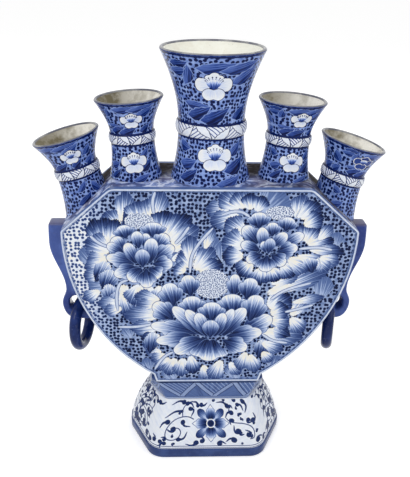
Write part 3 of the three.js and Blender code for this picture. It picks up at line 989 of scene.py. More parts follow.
PANEL_LEAVES = (
    (34, 194, 49, 209, 31, HAZE), (86, 169, 87, 181, 11, HAZE), (-80, 154, -88, 169, 13, HAZE),
    (-74, 140, -85, 141, 12, HAZE), (-60, 128, -72, 135, 12, HAZE), (-69, 119, -73, 129, 9, HAZE),
    (-24, 154, -22, 167, 13, HAZE), (-4, 161, 3, 178, 13, HAZE), (8, 158, 9, 175, 11, HAZE),
    (79, 128, 82, 147, 16, HAZE), (-43, 68, -46, 80, 11, HAZE), (47, 67, 53, 81, 15, HAZE),
    (-24, 60, -31, 73, 15, HAZE), (22, 60, 18, 76, 16, HAZE), (-56, 97, -60, 107, 11, HAZE),
    (-62, 184, -72, 195, 16, MARGIN), (-60, 188, -57, 210, 14, MARGIN),
    (-60, 184, -54, 201, 6, DARK_FOLD), (-48, 187, -48, 203, 23, MARGIN),
    (-42, 188, -43, 205, 11, MARGIN), (-40, 187, -33, 211, 14, MARGIN),
    (-35, 178, -29, 196, 22, DEEP_MARGIN), (-31, 175, -15, 193, 20, DEEP_MARGIN),
    (-28, 170, -9, 185, 16, MARGIN), (-27, 167, -10, 176, 14, MARGIN),
    (-27, 160, -14, 164, 11, DEEP_MARGIN), (-73, 169, -80, 190, 16, DEEP_MARGIN),
    (-72, 170, -71, 191, 18, DEEP_MARGIN), (-68, 172, -64, 190, 13, DEEP_MARGIN),
    (-69, 166, -85, 175, 20, MARGIN), (-71, 161, -85, 158, 16, MARGIN),
    (-74, 157, -87, 154, 11, MARGIN), (-75, 148, -88, 148, 12, MARGIN),
    (-80, 143, -71, 158, 14, FOLD), (-75, 136, -68, 152, 15, FOLD),
    (-70, 125, -71, 141, 12, FOLD), (-77, 136, -89, 129, 11, MARGIN),
    (-59, 141, -66, 119, 18, MARGIN), (-62, 135, -57, 114, 13, DEEP_MARGIN),
    (-49, 141, -55, 125, 18, MARGIN), (-42, 140, -45, 124, 16, MARGIN),
    (-35, 140, -38, 128, 11, MARGIN), (-63, 126, -79, 126, 12, MARGIN),
    (-62, 122, -75, 119, 11, MARGIN), (-35, 128, -53, 132, 14, MARGIN),
    (-36, 124, -52, 122, 15, MARGIN), (-34, 116, -61, 116, 15, MARGIN),
    (-34, 106, -57, 106, 14, MARGIN), (-35, 99, -49, 97, 10, DEEP_MARGIN),
    (-37, 90, -48, 92, 10, MARGIN), (-34, 85, -46, 86, 10, MARGIN), (-43, 84, -40, 102, 12, FOLD),
    (-31, 83, -42, 78, 11, MARGIN), (-28, 80, -38, 70, 13, MARGIN),
    (-24, 80, -30, 65, 14, MARGIN), (-18, 80, -21, 64, 14, MARGIN),
    (-13, 82, -10, 66, 12, DEEP_MARGIN), (-3, 74, -1, 59, 11, MARGIN),
    (10, 78, 3, 60, 14, MARGIN), (16, 76, 24, 65, 11, MARGIN), (28, 85, 23, 69, 12, MARGIN),
    (31, 83, 36, 67, 12, MARGIN), (37, 80, 41, 95, 13, FOLD), (40, 85, 47, 76, 11, MARGIN),
    (39, 93, 55, 86, 12, MARGIN), (39, 102, 69, 97, 18, MARGIN), (60, 98, 48, 105, 14, FOLD),
    (57, 103, 49, 118, 14, FOLD), (44, 112, 59, 110, 15, MARGIN),
    (42, 122, 57, 133, 24, DEEP_MARGIN), (44, 117, 57, 122, 16, DEEP_MARGIN),
    (40, 133, 83, 152, 16, MARGIN), (43, 141, 63, 151, 13, MARGIN),
    (59, 115, 70, 130, 13, MARGIN), (59, 114, 69, 102, 14, MARGIN), (59, 126, 82, 131, 8, MARGIN),
    (12, 198, -4, 197, 14, MARGIN), (19, 198, 5, 208, 16, MARGIN), (22, 198, 16, 210, 15, MARGIN),
    (26, 197, 25, 209, 13, DEEP_MARGIN), (30, 196, 35, 207, 13, DEEP_MARGIN),
    (19, 193, -1, 188, 15, MARGIN), (22, 188, 9, 184, 13, DEEP_MARGIN),
    (24, 180, 10, 190, 16, MARGIN), (23, 170, 8, 176, 22, MARGIN),
    (23, 163, 8, 163, 16, DEEP_MARGIN), (29, 158, 20, 148, 16, DEEP_MARGIN),
    (36, 154, 33, 141, 16, DEEP_MARGIN), (43, 154, 47, 143, 16, DEEP_MARGIN),
    (50, 157, 59, 147, 16, DEEP_MARGIN), (54, 161, 70, 152, 16, MARGIN),
    (60, 163, 81, 157, 11, MARGIN), (64, 174, 66, 188, 14, DEEP_MARGIN),
    (66, 172, 76, 184, 14, DEEP_MARGIN), (67, 171, 85, 175, 13, DEEP_MARGIN),
    (68, 168, 93, 166, 11, DEEP_MARGIN), (76, 162, 90, 157, 12, MARGIN),
    (74, 161, 83, 151, 12, MARGIN), (72, 150, 68, 161, 13, FOLD), (58, 191, 62, 208, 16, MARGIN),
    (60, 191, 73, 202, 16, DEEP_MARGIN), (63, 186, 76, 193, 15, DEEP_MARGIN),
    (74, 175, 83, 186, 10, MARGIN), (-13, 154, -21, 166, 15, MARGIN),
    (-14, 158, -14, 178, 14, MARGIN), (-11, 152, 2, 169, 16, MARGIN),
    (-8, 151, 8, 158, 13, DEEP_MARGIN), (-17, 151, -25, 155, 13, MARGIN),
    (-4, 168, 1, 185, 9, MARGIN),
)
PANEL_STEMS = (
    ((-14.1, 149.8), (-13.5, 162.9), (-8.2, 172.7), (1.2, 183.9)),
    ((7, 193.4), (15, 196.3), (21.1, 195.6), (26, 192)),
    ((-65, 119.7), (-66, 131.8), (-63.6, 142), (-57.3, 144.4)),
    ((-82.1, 177.8), (-76.9, 172.6), (-70.3, 169.6)),
    ((-38.7, 194), (-40, 202.6), (-37.9, 209.6)), ((-24.6, 172), (-19.8, 177.2), (-15.1, 184.6)),
    ((43.3, 128.3), (52.8, 136.3), (71.7, 141.9)), ((57.4, 192.1), (62, 203)),
    ((61.2, 168.3), (74.3, 169.8), (84.3, 167.6)), ((75, 162.2), (78.6, 152.9)),
    ((-65.4, 106.5), (-49.6, 106.4), (-32.3, 111.3)),
    ((-39.2, 70.4), (-33.2, 80.8), (-25.8, 85.1)), ((39, 100.1), (46.7, 94.1), (57.9, 92.4)),
    ((54.7, 118.4), (64, 120.9), (74.6, 124.1)),
)
# The stippled patches
PANEL_PATCHES = (
    spot((1.2, 141.2), 12.5, 11.7), spot((-48.8, 188.9), 10, 5.8), spot((46.3, 195), 10, 5),
)
FOOT_FLOWER = (3.0, 19.8)
FOOT_VINES = (
    ((-10.5, 23.0), (-14.8, 25.1), (-19.8, 25.1), (-25.9, 23.0), (-30.2, 18.0), (-31.7, 12.3),
     (-30.2, 7.7), (-25.2, 6.6), (-20.9, 8.8), (-19.4, 13.0), (-21.3, 16.1), (-24.4, 16.5)),
    ((-19.8, 25.1), (-20.7, 29.1), (-19.8, 32.9), (-16.7, 35.9), (-12.8, 36.7)),
    ((15.6, 23.7), (17.9, 20.7), (23.3, 19.8), (29.5, 19.5), (34.5, 17.2), (36.4, 12.7),
     (35.6, 7.7), (31.8, 7.3)),
    ((17.9, 27.5), (19.1, 30.6), (19.5, 33.7)),
)
# The foot's commas: head x and height, tail x and height, width and bend
LEFT_SCROLL = (
    (-18.6, 36.3, -29.8, 35.2, 4.9, 1.3), (-19, 35.6, -11.5, 32.9, 4.4, -1.4),
    (-6.7, 33.7, -0.2, 34.8, 4.4, 0.9), (-6.7, 32.5, -12.7, 36.7, 3.9, 1.2),
    (-15.2, 32.5, -11.9, 26.4, 4.2, -2.2), (-19.8, 29.5, -32.8, 25.4, 3.4, 1.5),
    (-29.4, 22.1, -36.1, 17, 4.9, 1.2), (-20.5, 22.1, -14.2, 17.2, 4.7, 1.3),
    (-23.6, 15.7, -30.2, 14.9, 5.5, -1.3), (-34, 7.3, -35.2, 2, 4.4, -1.2),
    (-30.2, 6.6, -33.2, 9.2, 3.9, 1), (-29.8, 5.4, -34.4, 1.6, 3.9, 1.4),
    (-22.5, 6.6, -15, 11.9, 4.2, 1.6), (-23.6, 5, -24.8, 2.7, 4.2, 0.8),
    (-5.9, 5.4, -14.4, 3, 4.9, -1.4), (-3.2, 4.3, -4.2, 9.6, 4.4, 1.2),
    (-22.8, 26.5, -22.8, 29.3, 2.8, 0), (-25.8, 8.8, -25.8, 11.4, 2.6, 0),
)
RIGHT_SCROLL = (
    (7.2, 3.9, 13.2, 4.3, 5.2, -1.1), (5.2, 36.3, 6.5, 38.8, 3.9, 0.9),
    (19.5, 32.1, 9.8, 36.3, 4.9, 1.4), (18.3, 32.9, 21.9, 31.7, 3.4, -0.8),
    (26.4, 36.7, 22.2, 39, 4.7, 1.2), (25.6, 34.8, 31, 30.6, 3.9, -1.6),
    (32.2, 37.9, 32.9, 28.7, 4.4, -1.5), (32.9, 38.2, 31, 36.7, 3.1, 0.4),
    (22.2, 28.5, 15.2, 25.1, 4.7, 1.4), (26.4, 26.4, 28.7, 27.5, 3.1, 0.5),
    (27.5, 23.4, 28.7, 21.8, 3.1, -0.5), (21.4, 23, 18.3, 19.5, 4.2, 1.4),
    (32.2, 23.4, 34.8, 19.9, 4.7, 1.4), (35.6, 19.5, 39.1, 25.1, 4.7, 1.8),
    (37.5, 17.6, 36.4, 20.3, 3.9, 0.4), (25.6, 11.9, 20.6, 16.5, 5.7, -1.8),
    (24.1, 13, 27.2, 10.8, 4.4, 1), (31.8, 8.5, 30.4, 14.2, 5.2, 1.6),
    (32.5, 8.1, 34.1, 10.4, 3.4, 0.4), (22.2, 6.6, 14.5, 6.3, 5.5, 1.4),
    (36.4, 4.6, 42.9, 6.8, 5.5, -1.6), (25.6, 2.7, 25.5, 4.6, 3.4, 0.2),
    (38.3, 12.4, 39.5, 13.4, 3.1, 0.3), (15.2, 38.4, 16.5, 39.6, 3.6, 0.4),
    (25.2, 29.9, 25.2, 32.5, 2.6, 0), (26, 24.6, 26, 27.2, 2.6, 0),
    (27.5, 21.8, 27.5, 24.2, 2.4, 0), (38.3, 11, 38.3, 13.8, 2.8, 0),
    (15.2, 36.4, 15.2, 39.8, 3.4, 0),
)

# A spout's darker leaves: angle and height at root and tip, width and ink. Heights count from
# the lip, 0, to the collar, 1, and from the collar to the shoulder, 2
SPOUT_LEAVES = (
    (-25, 0.2, 27, 0.12, 6.0, SHADOW_LEAF), (4, 0.24, 60, 0.09, 5.5, SHADOW_LEAF),
    (20, 0.42, 60, 0.16, 6.5, SHADOW_LEAF), (-62, 0.16, -30, 0.12, 5.0, DUSK_LEAF),
    (-66, 0.26, -30, 0.22, 4.5, SHADOW_LEAF), (-43, 0.46, -33, 0.14, 5.0, SHADOW_LEAF),
    (-78, 0.28, -58, 0.68, 7.0, SHADOW_LEAF), (84, 0.34, 62, 0.66, 6.0, SHADOW_LEAF),
    (-50, 0.68, -5, 0.72, 4.5, SHADOW_LEAF), (-47, 0.88, -2, 0.72, 6.5, DUSK_LEAF),
    (-24, 0.94, 28, 0.74, 7.0, DUSK_LEAF), (30, 0.92, 62, 0.72, 6.0, DUSK_LEAF),
    (66, 0.9, 98, 0.74, 6.0, SHADOW_LEAF), (-88, 0.92, -60, 0.74, 6.0, SHADOW_LEAF),
    (-64, 1.08, -36, 1.22, 5.5, SHADOW_LEAF), (24, 1.36, 54, 1.06, 5.0, SHADOW_LEAF),
    (16, 1.7, 60, 1.4, 7.0, DUSK_LEAF), (-60, 1.56, -24, 1.44, 6.0, SHADOW_LEAF),
    (-54, 1.9, -22, 1.62, 5.5, DUSK_LEAF), (4, 1.96, 48, 1.8, 5.0, SHADOW_LEAF),
    (66, 1.14, 92, 1.5, 6.5, SHADOW_LEAF), (64, 1.9, 100, 1.66, 5.5, SHADOW_LEAF),
)

# The vase's pieces

def bezier(steps: int, *points: Point) -> list[Vector]:
    """Draws a Bezier curve.

    Args:
        steps: the number of pieces that it is cut into.
        points: its two ends, with its handles between them.

    Returns:
        The curve's points, with both ends.
    """
    curve = []
    for i in range(steps + 1):
        level = [Vector(p) for p in points]
        while len(level) > 1:
            level = [a.lerp(b, i / steps) for a, b in zip(level, level[1:])]
        curve += level
    return curve


def arc(centre: Point, radius: float, start: float, end: float) -> list[Vector]:
    """Returns an arc in eight pieces, from one angle in degrees to another."""
    angles = [math.radians(start + (end - start) * i / 8) for i in range(9)]
    return [Vector(centre) + radius * Vector((math.cos(a), math.sin(a))) for a in angles]


def copy_of(node: str) -> BMesh:
    """Copies a CAD node, merged and with flat faces whole again.

    Args:
        node: the node's name.

    Returns:
        The copy, in millimetres.
    """
    bm = bmesh.new()
    bm.from_mesh(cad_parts[node].data)
    bmesh.ops.scale(bm, vec=Vector((1 / MM, 1 / MM, 1 / MM)), verts=bm.verts)
    bmesh.ops.remove_doubles(bm, verts=bm.verts, dist=WELD)
    bmesh.ops.dissolve_limit(bm, angle_limit=math.radians(0.4), verts=bm.verts, edges=bm.edges)
    return bm


def thread(bm: BMesh, points: Iterable[Sequence[float]],
           closed: bool = True) -> list[BMVert | BMEdge]:
    """Adds a line through points.

    Args:
        bm: the mesh.
        points: the line's corners.
        closed: whether it runs back to its start.

    Returns:
        The new corners and then the new edges.
    """
    verts = [bm.verts.new(p) for p in points]
    pairs = round_pairs(verts) if closed else zip(verts, verts[1:])
    return verts + [bm.edges.new(pair) for pair in pairs]


def edges_of(line: Iterable[BMVert | BMEdge]) -> list[BMEdge]:
    """Returns only the edges of a line."""
    return [g for g in line if isinstance(g, BMEdge)]


def spin(bm: BMesh, geom: Sequence[BMVert | BMEdge], steps: int) -> None:
    """Turns a line round the z axis into a surface."""
    bmesh.ops.spin(bm, geom=geom, cent=(0, 0, 0), axis=(0, 0, 1), angle=2 * math.pi,
                   steps=steps, use_merge=True)


def raise_up(bm: BMesh, raised: dict, offset: tuple[float, float, float]) -> None:
    """Moves the corners that an extrusion made, and turns all faces outwards."""
    fresh = [g for g in raised["geom"] if isinstance(g, BMVert)]
    bmesh.ops.translate(bm, vec=Vector(offset), verts=fresh)
    bmesh.ops.recalc_face_normals(bm, faces=bm.faces)


def round_edges(bm: BMesh, width: float, segments: int,
                suits: Callable[[Vector, Vector], bool]) -> None:
    """Rounds sharp edges.

    Args:
        bm: the mesh.
        width: how much of the faces beside them is taken.
        segments: the number of pieces in a rounding.
        suits: tells from an edge's two ends whether it is rounded.
    """
    edges = [e for e in bm.edges
             if e.calc_face_angle(0.0) > SHARP and suits(*(v.co for v in e.verts))]
    bmesh.ops.bevel(bm, geom=edges, offset=width, offset_type="OFFSET", segments=segments,
                    profile=0.5, affect="EDGES", clamp_overlap=True, material=-1)


@dataclass
class Reservoir:
    """The flat-sided body: two painted panels in a raised bead, and the slabs between them."""

    paint: Material
    shoulder: Material
    field_depth: float = 30.2
    bead_depth: float = 31.0
    bead_round: float = 0.75
    slab_reach: float = 26.48
    corner: Point = (102.0, 181.5)  # the panel's, from where the sides' paint is measured

    def build(self) -> None:
        """Builds the panels and the slabs."""
        self.panel("front", -1)
        self.panel("back", 1)
        for side in ("left", "right"):
            self.slab(f"side_slab_{side}", f"dotted_side_{side}", self.paint, "dotted_ground")
            self.shoulder_slab(side)
        self.shoulder_slab("top")

    def panel(self, way: str, facing: int) -> None:
        """Builds a panel.

        Args:
            way: which of the two it is.
            facing: -1 at the front, 1 at the back.
        """
        skin = Skin(copy_of(f"{way}_panel"))
        round_edges(skin.bm, self.bead_round, 3, lambda a, b: all(
            abs(abs(p.y) - self.bead_depth) < LEVEL for p in (a, b)))
        outer = [f for f in skin.bm.faces
                 if abs(f.calc_center_median().y) > self.field_depth - 0.1]
        middle = max(outer, key=lambda f: f.calc_area())
        outline = [Vector((-facing * v.co.x, v.co.z)) for v in middle.verts]
        if signed_area(outline) < 0:
            outline.reverse()
        bmesh.ops.delete(skin.bm, geom=[middle], context="FACES_ONLY")
        crest = [f for f in skin.bm.faces if f.normal.y * facing > 0.8
                 and f.calc_center_median().y * facing > self.field_depth]
        for faces, ink in ((skin.bm.faces, MID_BLUE), (crest, BEAD)):
            skin.paint_rest(faces, ink, lambda co: (co.x, co.z))
        canvas = Canvas(outline, window=self.window(outline))
        self.decorate(canvas)
        depth = self.field_depth * facing
        skin.add_canvas(canvas, lambda p: Vector((-facing * p.x, depth, p.y)))
        skin.finish(f"painted_{way}_panel", [self.paint], "vase", "painted_panel", f"{way}_panel")

    def window(self, outline: Sequence[Vector]) -> list[Vector]:
        """Works out the convex part of the field: its side curves run on to its lower edge.

        Args:
            outline: the field's outline.

        Returns:
            That part's outline, counter-clockwise.
        """
        low = min(p.y for p in outline)
        upper = sorted((p for p in outline if p.y > low + 5.5 and p.x > 0), key=lambda p: p.y)
        a, b = upper[:2]
        foot = a.x - (a.y - low) * (b.x - a.x) / (b.y - a.y)
        right = [Vector((foot, low)), *upper]
        return right + [Vector((-p.x, p.y)) for p in reversed(right)]

    def decorate(self, canvas: Canvas) -> None:
        """Paints the peonies among their leaves.

        Args:
            canvas: the panel's field.
        """
        for distance, ink in ((0.3, MID_BLUE), (0.9, GROUND)):
            canvas.cover(shrunk(canvas.field_outline, distance), ink)
        for x0, y0, x1, y1, width, ink in PANEL_LEAVES:
            lobes = 3 if ink in (FOLD, HAZE) else 4
            canvas.mark(Frond((x0, y0), (x1, y1), width, lobes), ink)
        for patch in PANEL_PATCHES:
            canvas.mark(patch, STIPPLE)
        for stem in PANEL_STEMS:
            for width, ink in ((2.7, FINE_LINE), (1.7, BEAD)):
                canvas.line(stem, width, ink, tapered=True)
        for peony in (LEFT_PEONY, RIGHT_PEONY, LARGE_PEONY):
            for x0, y0, x1, y1, width, lobes in peony:
                ink = HEART if (x0, y0) == peony[-1][:2] else PETAL
                canvas.mark(Petal((x0, y0), (x1, y1), width, lobes), ink, FINE_LINE, 0.45)

    def slab(self, node: str, name: str, finish: Material, slot: str) -> None:
        """Builds a slab between the panels, widened until it meets them.

        Args:
            node: its CAD node.
            name: the piece's name.
            finish: its material.
            slot: handed on to the skin's finish, which does not use it.
        """
        skin = Skin(copy_of(node))
        reach = max(v.co.y for v in skin.bm.verts)
        bmesh.ops.scale(skin.bm, vec=Vector((1, self.slab_reach / reach, 1)), verts=skin.bm.verts)
        corner = Vector(self.corner)
        skin.paint_rest(skin.bm.faces, GROUND,
                        lambda co: (co.y, (Vector((abs(co.x), co.z)) - corner).length))
        skin.finish(name, [finish], "vase", slot, node)

    def shoulder_slab(self, way: str) -> None:
        """Builds a slab that spouts stand on."""
        self.slab(f"shoulder_slab_{way}", f"glazed_shoulder_{way}", self.shoulder,
                  "shoulder_glaze")


# The shoulder's planes that spouts stand on: a point of each and its normal
SLOPE = Vector((30.5, 0.0, 34.0)).normalized()
SHOULDER_PLANES = (
    (Vector((68.0, 0.0, 212.0)), Vector((0.0, 0.0, 1.0))),
    (Vector((68.0, 0.0, 212.0)), SLOPE),
    (Vector((-68.0, 0.0, 212.0)), Vector((-SLOPE.x, 0.0, SLOPE.z))),
)


@dataclass(frozen=True)
class SpoutSize:
    """The turned shape of a spout, from its lip down."""

    lip_radius: float
    lip: float
    flare_length: float
    flare_depth: float
    neck_radius: float
    collar_length: float
    collar_rise: float
    wall: float
    base_radius: float
    base_tangent: float
    unroll_radius: float
    columns: int = 72
    sunk: float = 14.0  # how far it runs on below the shoulder, before it is cut

    @property
    def collar(self) -> Point:
        """The heights of the collar's top and foot."""
        return -self.flare_length, -self.flare_length - self.collar_length

    def outside(self, length: float) -> list[Vector]:
        """Draws the outer profile from the lip to below the shoulder.

        Args:
            length: how far the shoulder lies below the lip.

        Returns:
            The profile's points, as radius and height.
        """
        neck, (top, foot) = self.neck_radius, self.collar
        flare = bezier(14, (self.lip_radius, -self.lip / 2), (neck, -self.flare_depth),
                       (neck, top))
        swell = [self.collar_rise * 1.1 * math.sin(math.pi * i / 8) ** 0.55 for i in range(1, 8)]
        collar = [Vector((neck + rise, top + (foot - top) * i / 8))
                  for i, rise in enumerate(swell, 1)]
        base = bezier(10, (neck, foot), (neck, -length + self.base_tangent),
                      (self.base_radius, -length))
        return [*flare, *collar, *base, Vector((self.base_radius, -length - self.sunk))]

    def inside(self, length: float) -> list[Vector]:
        """Draws the inner profile from the lip's outer edge over it and down the bore.

        Args:
            length: how far the shoulder lies below the lip.

        Returns:
            The profile's points, as radius and height.
        """
        half, bore = self.lip / 2, self.neck_radius - self.wall
        over = arc((self.lip_radius - half, -half), half, 0, 180)
        down = bezier(14, (self.lip_radius - self.lip, -half), (bore, -self.flare_depth),
                      (bore, -self.flare_length))
        return [*over, *down[1:], Vector((bore, -length - self.sunk))]


@dataclass(frozen=True)
class Blossom:
    """A small white blossom: where it is (degrees from the front, height) and how wide."""

    angle: float
    height: float
    width: float
    share: float = 0.8  # height to width
    ink: Ink = BLOSSOM
    edge: Ink = NAVY
    line: ClassVar[float] = 0.42  # the width of the line round a petal, and a stamen's radius

    def paint(self, canvas: Canvas, spout: "Spout") -> None:
        """Paints the blossom.

        Args:
            canvas: the spout's canvas.
            spout: the spout.
        """
        x0, y0 = spout.at(self.angle, self.height)
        across = self.width / 2 * spout.size.unroll_radius / spout.radius(self.height)
        up = self.width / 2 * self.share

        def ends(*places: Point) -> list[Point]:
            """Returns places that are given in half widths of the blossom."""
            return [(x0 + x * across, y0 + y * up) for x, y in places]

        for tip, base, width, lobes in (((0.02, 1.0), (0.0, 0.0), across, 4),
                                        ((-0.98, 0.18), (-0.12, 0.1), 1.25 * up, 2),
                                        ((0.98, 0.18), (0.12, 0.1), 1.25 * up, 2)):
            canvas.mark(Petal(*ends(base, tip), width, lobes), self.ink, self.edge, self.line)
        for stamen in ((-0.42, 0.42), (-0.26, 0.6), (-0.08, 0.66), (0.1, 0.66), (0.28, 0.6),
                       (0.44, 0.42)):
            thread_ends = ends((0.0, -0.12), stamen)
            canvas.line(thread_ends, 0.32, COBALT)
            canvas.mark(spot(thread_ends[1], self.line, self.line), NAVY)
        canvas.mark(Petal(*ends((0.0, -0.25), (0.0, 0.5)), 0.8 * across, 1), STAMEN)
        canvas.mark(Kidney(*ends((0.0, 0.0), (0.0, -1.0)), across * 1.32), self.ink, self.edge,
                    self.line)


@dataclass
class Spout:
    """A turned spout, leaning about its rim and cut to sit on the shoulder."""

    name: str
    size: SpoutSize
    rim: Point
    lean: float
    length: float
    blossoms: tuple[Blossom, ...]
    sway: float = 0.0  # how far it moves sideways on its way down
    lift: float = 0.03  # how far it stands off the shoulder
    profile: list[Vector] = field(init=False)

    def __post_init__(self) -> None:
        """Works out the outer profile."""
        self.profile = self.size.outside(self.length)

    def at(self, angle: float, height: float) -> Point:
        """Returns the place on the canvas of an angle from the front and a height."""
        return math.radians(angle) * self.size.unroll_radius, height

    def radius(self, height: float) -> float:
        """Returns the outer radius at a height."""
        for a, b in zip(self.profile, self.profile[1:]):
            if height >= b.y:
                return a.x + (b.x - a.x) * max(0.0, (a.y - height) / (a.y - b.y))
        return self.profile[-1].x

    def build(self, finishes: Sequence[Material]) -> None:
        """Builds the spout.

        Args:
            finishes: the materials of its outside, its inside and its lip.
        """
        half, count = math.pi * self.size.unroll_radius, self.size.columns
        columns = [-half + 2 * half * i / count for i in range(count + 1)]
        canvas = Canvas.unrolled(columns, sorted(p.y for p in self.profile), GROUND)
        self.decorate(canvas)
        skin = Skin()
        skin.add_canvas(canvas, self.wrap)
        self.hollow(skin)
        self.seat(skin)
        bmesh.ops.recalc_face_normals(skin.bm, faces=skin.bm.faces)
        skin.finish(f"painted_{self.name}", finishes, "vase", "painted_spout", self.name)

    def wrap(self, point: Vector) -> Vector:
        """Takes a point of the canvas round the spout."""
        angle, radius = point.x / self.size.unroll_radius, self.radius(point.y)
        return Vector((radius * math.sin(angle), -radius * math.cos(angle), point.y))

    def hollow(self, skin: Skin) -> None:
        """Turns the lip and the bore, and welds them to the outside.

        Args:
            skin: the spout's skin, so far its outside.
        """
        bm, lip = skin.bm, self.size.lip
        before = set(bm.faces)
        profile = [(0.0, p.x, p.y) for p in self.size.inside(self.length)]
        spin(bm, thread(bm, profile, closed=False), self.size.columns)
        fresh = [f for f in bm.faces if f not in before]
        skin.paint_rest(fresh, LIP_EDGE, lambda co: (co.x, co.y))
        for face in fresh:
            middle = face.calc_center_median()
            reach = self.size.lip_radius - math.hypot(middle.x, middle.y)
            face.material_index = 1
            if middle.z > -lip and reach < lip:
                face.material_index = 2 if reach > lip * 0.05 else 0
        bmesh.ops.remove_doubles(bm, verts=bm.verts, dist=WELD)

    def seat(self, skin: Skin) -> None:
        """Leans the spout, moves it to its place and cuts its base along the shoulder.

        Args:
            skin: the spout's skin.
        """
        bm, touch = skin.bm, 1e-4
        sway = Matrix.Identity(4)
        sway[0][2] = -self.sway
        place = (Matrix.Translation((self.rim[0], 0, self.rim[1]))
                 @ Matrix.Rotation(math.radians(self.lean), 4, "Y") @ sway)
        bmesh.ops.transform(bm, matrix=place, verts=bm.verts)
        planes = [(point + normal * self.lift, normal) for point, normal in SHOULDER_PLANES
                  if normal.x * self.rim[0] >= 0]
        for point, normal in planes:
            bmesh.ops.bisect_plane(bm, geom=[*bm.verts, *bm.edges, *bm.faces], dist=touch,
                                   plane_co=point, plane_no=normal)
        sunk = [f for f in bm.faces if all(
            (f.calc_center_median() - point).dot(normal) < touch for point, normal in planes)]
        bmesh.ops.delete(bm, geom=sunk, context="FACES")
        made = bmesh.ops.triangle_fill(bm, edges=[e for e in bm.edges if e.is_boundary],
                                       use_beauty=True, normal=(0, 0, 1))
        skin.paint_rest([g for g in made["geom"] if isinstance(g, BMFace)], WHITE,
                        lambda co: (co.x, co.y))

    def decorate(self, canvas: Canvas) -> None:
        """Paints the lip's line, the leaves, the blossoms and the hatched collar.

        Args:
            canvas: the spout's canvas.
        """
        top, foot = self.size.collar
        long = self.size.collar_length
        edge = self.size.lip / 2
        canvas.ring(-edge - 1.3, -edge - 0.1, NAVY)
        for leaf, ink in self.leaves():
            canvas.mark(leaf, ink, SOFT_BLUE, leaf.width * 0.05)
        canvas.ring(foot + 0.6, top - 0.6, COLLAR_WHITE)
        canvas.zigzag(foot + 0.2, top - 0.2, 6, Zigzag(
            long * 0.6, 1.4, 0.5, COLLAR_WHITE, NAVY, COBALT, 0.58, 6, curve=long * 0.1))
        for height in (foot, top):
            canvas.ring(height - 0.75, height + 0.75, NAVY)
        for blossom in self.blossoms:
            blossom.paint(canvas, self)

    def leaves(self) -> Iterator[tuple[Leaf, Ink]]:
        """Yields the darker leaves, once round the front and once round the back."""
        top, foot = self.size.collar
        scale = self.size.neck_radius / CENTRE_SIZE.neck_radius
        for turn in (0.0, 180.0):
            for from_angle, from_share, to_angle, to_share, width, ink in SPOUT_LEAVES:
                ends = []
                for angle, share in ((from_angle, from_share), (to_angle, to_share)):
                    height = top * share if share < 1 else foot - (self.length + foot) * (share - 1)
                    around = (angle + turn + self.lean * 2.0 + 180.0) % 360.0 - 180.0
                    ends.append(self.at(around, height))
                if abs(ends[0][0] - ends[1][0]) < math.pi * self.size.unroll_radius:
                    bend = width * scale * (0.35 if from_angle < to_angle else -0.35)
                    yield Leaf(*ends, width * scale * 1.45, bend), ink


CENTRE_SIZE = SpoutSize(35.3, 2.6, 47.3, 28.0, 22.8, 9.6, 1.6, 4.0, 27.6, 16.0, 26.0)
SMALL_SIZE = SpoutSize(23.38, 2.2, 22.0, 15.5, 15.0, 7.2, 1.1, 3.2, 18.0, 13.0, 17.0)
INNER_SIZE = replace(SMALL_SIZE, flare_length=23.2)
SPOUTS = (
    Spout("spout_centre", CENTRE_SIZE, (0.0, 300.0), 0.0, 88.0,
          (Blossom(-1, -21.5, 25.0), Blossom(4, -69.0, 24.0))),
    Spout("spout_inner_left", INNER_SIZE, (-55.832, 266.9), -4.2, 55.05,
          (Blossom(5, -13.2, 15.5, 0.75), Blossom(2, -42.2, 19.0))),
    Spout("spout_inner_right", INNER_SIZE, (55.032, 266.4), 3.4, 54.5,
          (Blossom(13, -10.8, 15.5, 0.75), Blossom(7, -40.7, 18.0))),
    Spout("spout_outer_left", SMALL_SIZE, (-99.432, 240.747), -15.5, 55.02,
          (Blossom(8, -12.7, 15.0, 0.75),)),
    Spout("spout_outer_right", SMALL_SIZE, (99.46, 237.914), 16.0, 54.84,
          (Blossom(18, -10.5, 15.0, 0.75, COBALT, WHITE),), 0.062),
)


@dataclass(frozen=True)
class Octagon:
    """A long octagon: its front corners' and its side corners' places."""

    front: float
    depth: float
    side: float
    side_face: float

    def towards(self, other: "Octagon", share: float) -> "Octagon":
        """Returns the octagon a share of the way to another."""
        pairs = zip(astuple(self), astuple(other))
        return Octagon(*(a + (b - a) * share for a, b in pairs))

    def outline(self, radius: float, inwards: float, steps: int = 6) -> list[Vector]:
        """Returns the outline with rounded corners, counter-clockwise from the back's left.

        Args:
            radius: the corners' radius.
            inwards: how far the outline is moved inwards.
            steps: the number of pieces in a corner.

        Returns:
            The outline's points.
        """
        half = [(-self.front, self.depth), (-self.side, self.side_face),
                (-self.side, -self.side_face), (-self.front, -self.depth)]
        corners = shrunk([Vector(p) for p in [*half, *((-x, -y) for x, y in half)]], inwards)
        points = []
        for i, corner in enumerate(corners):
            before, after = corners[i - 1] - corner, corners[(i + 1) % 8] - corner
            bend = before.angle(after) / 2
            limited = min(radius, min(before.length, after.length) * 0.47 * math.tan(bend))
            centre = corner + (before.normalized() + after.normalized()).normalized() * (
                limited / math.sin(bend))
            start = corner + before.normalized() * (limited / math.tan(bend)) - centre
            points += [centre + Matrix.Rotation((math.pi - 2 * bend) * k / steps, 2) @ start
                       for k in range(steps + 1)]
        return points


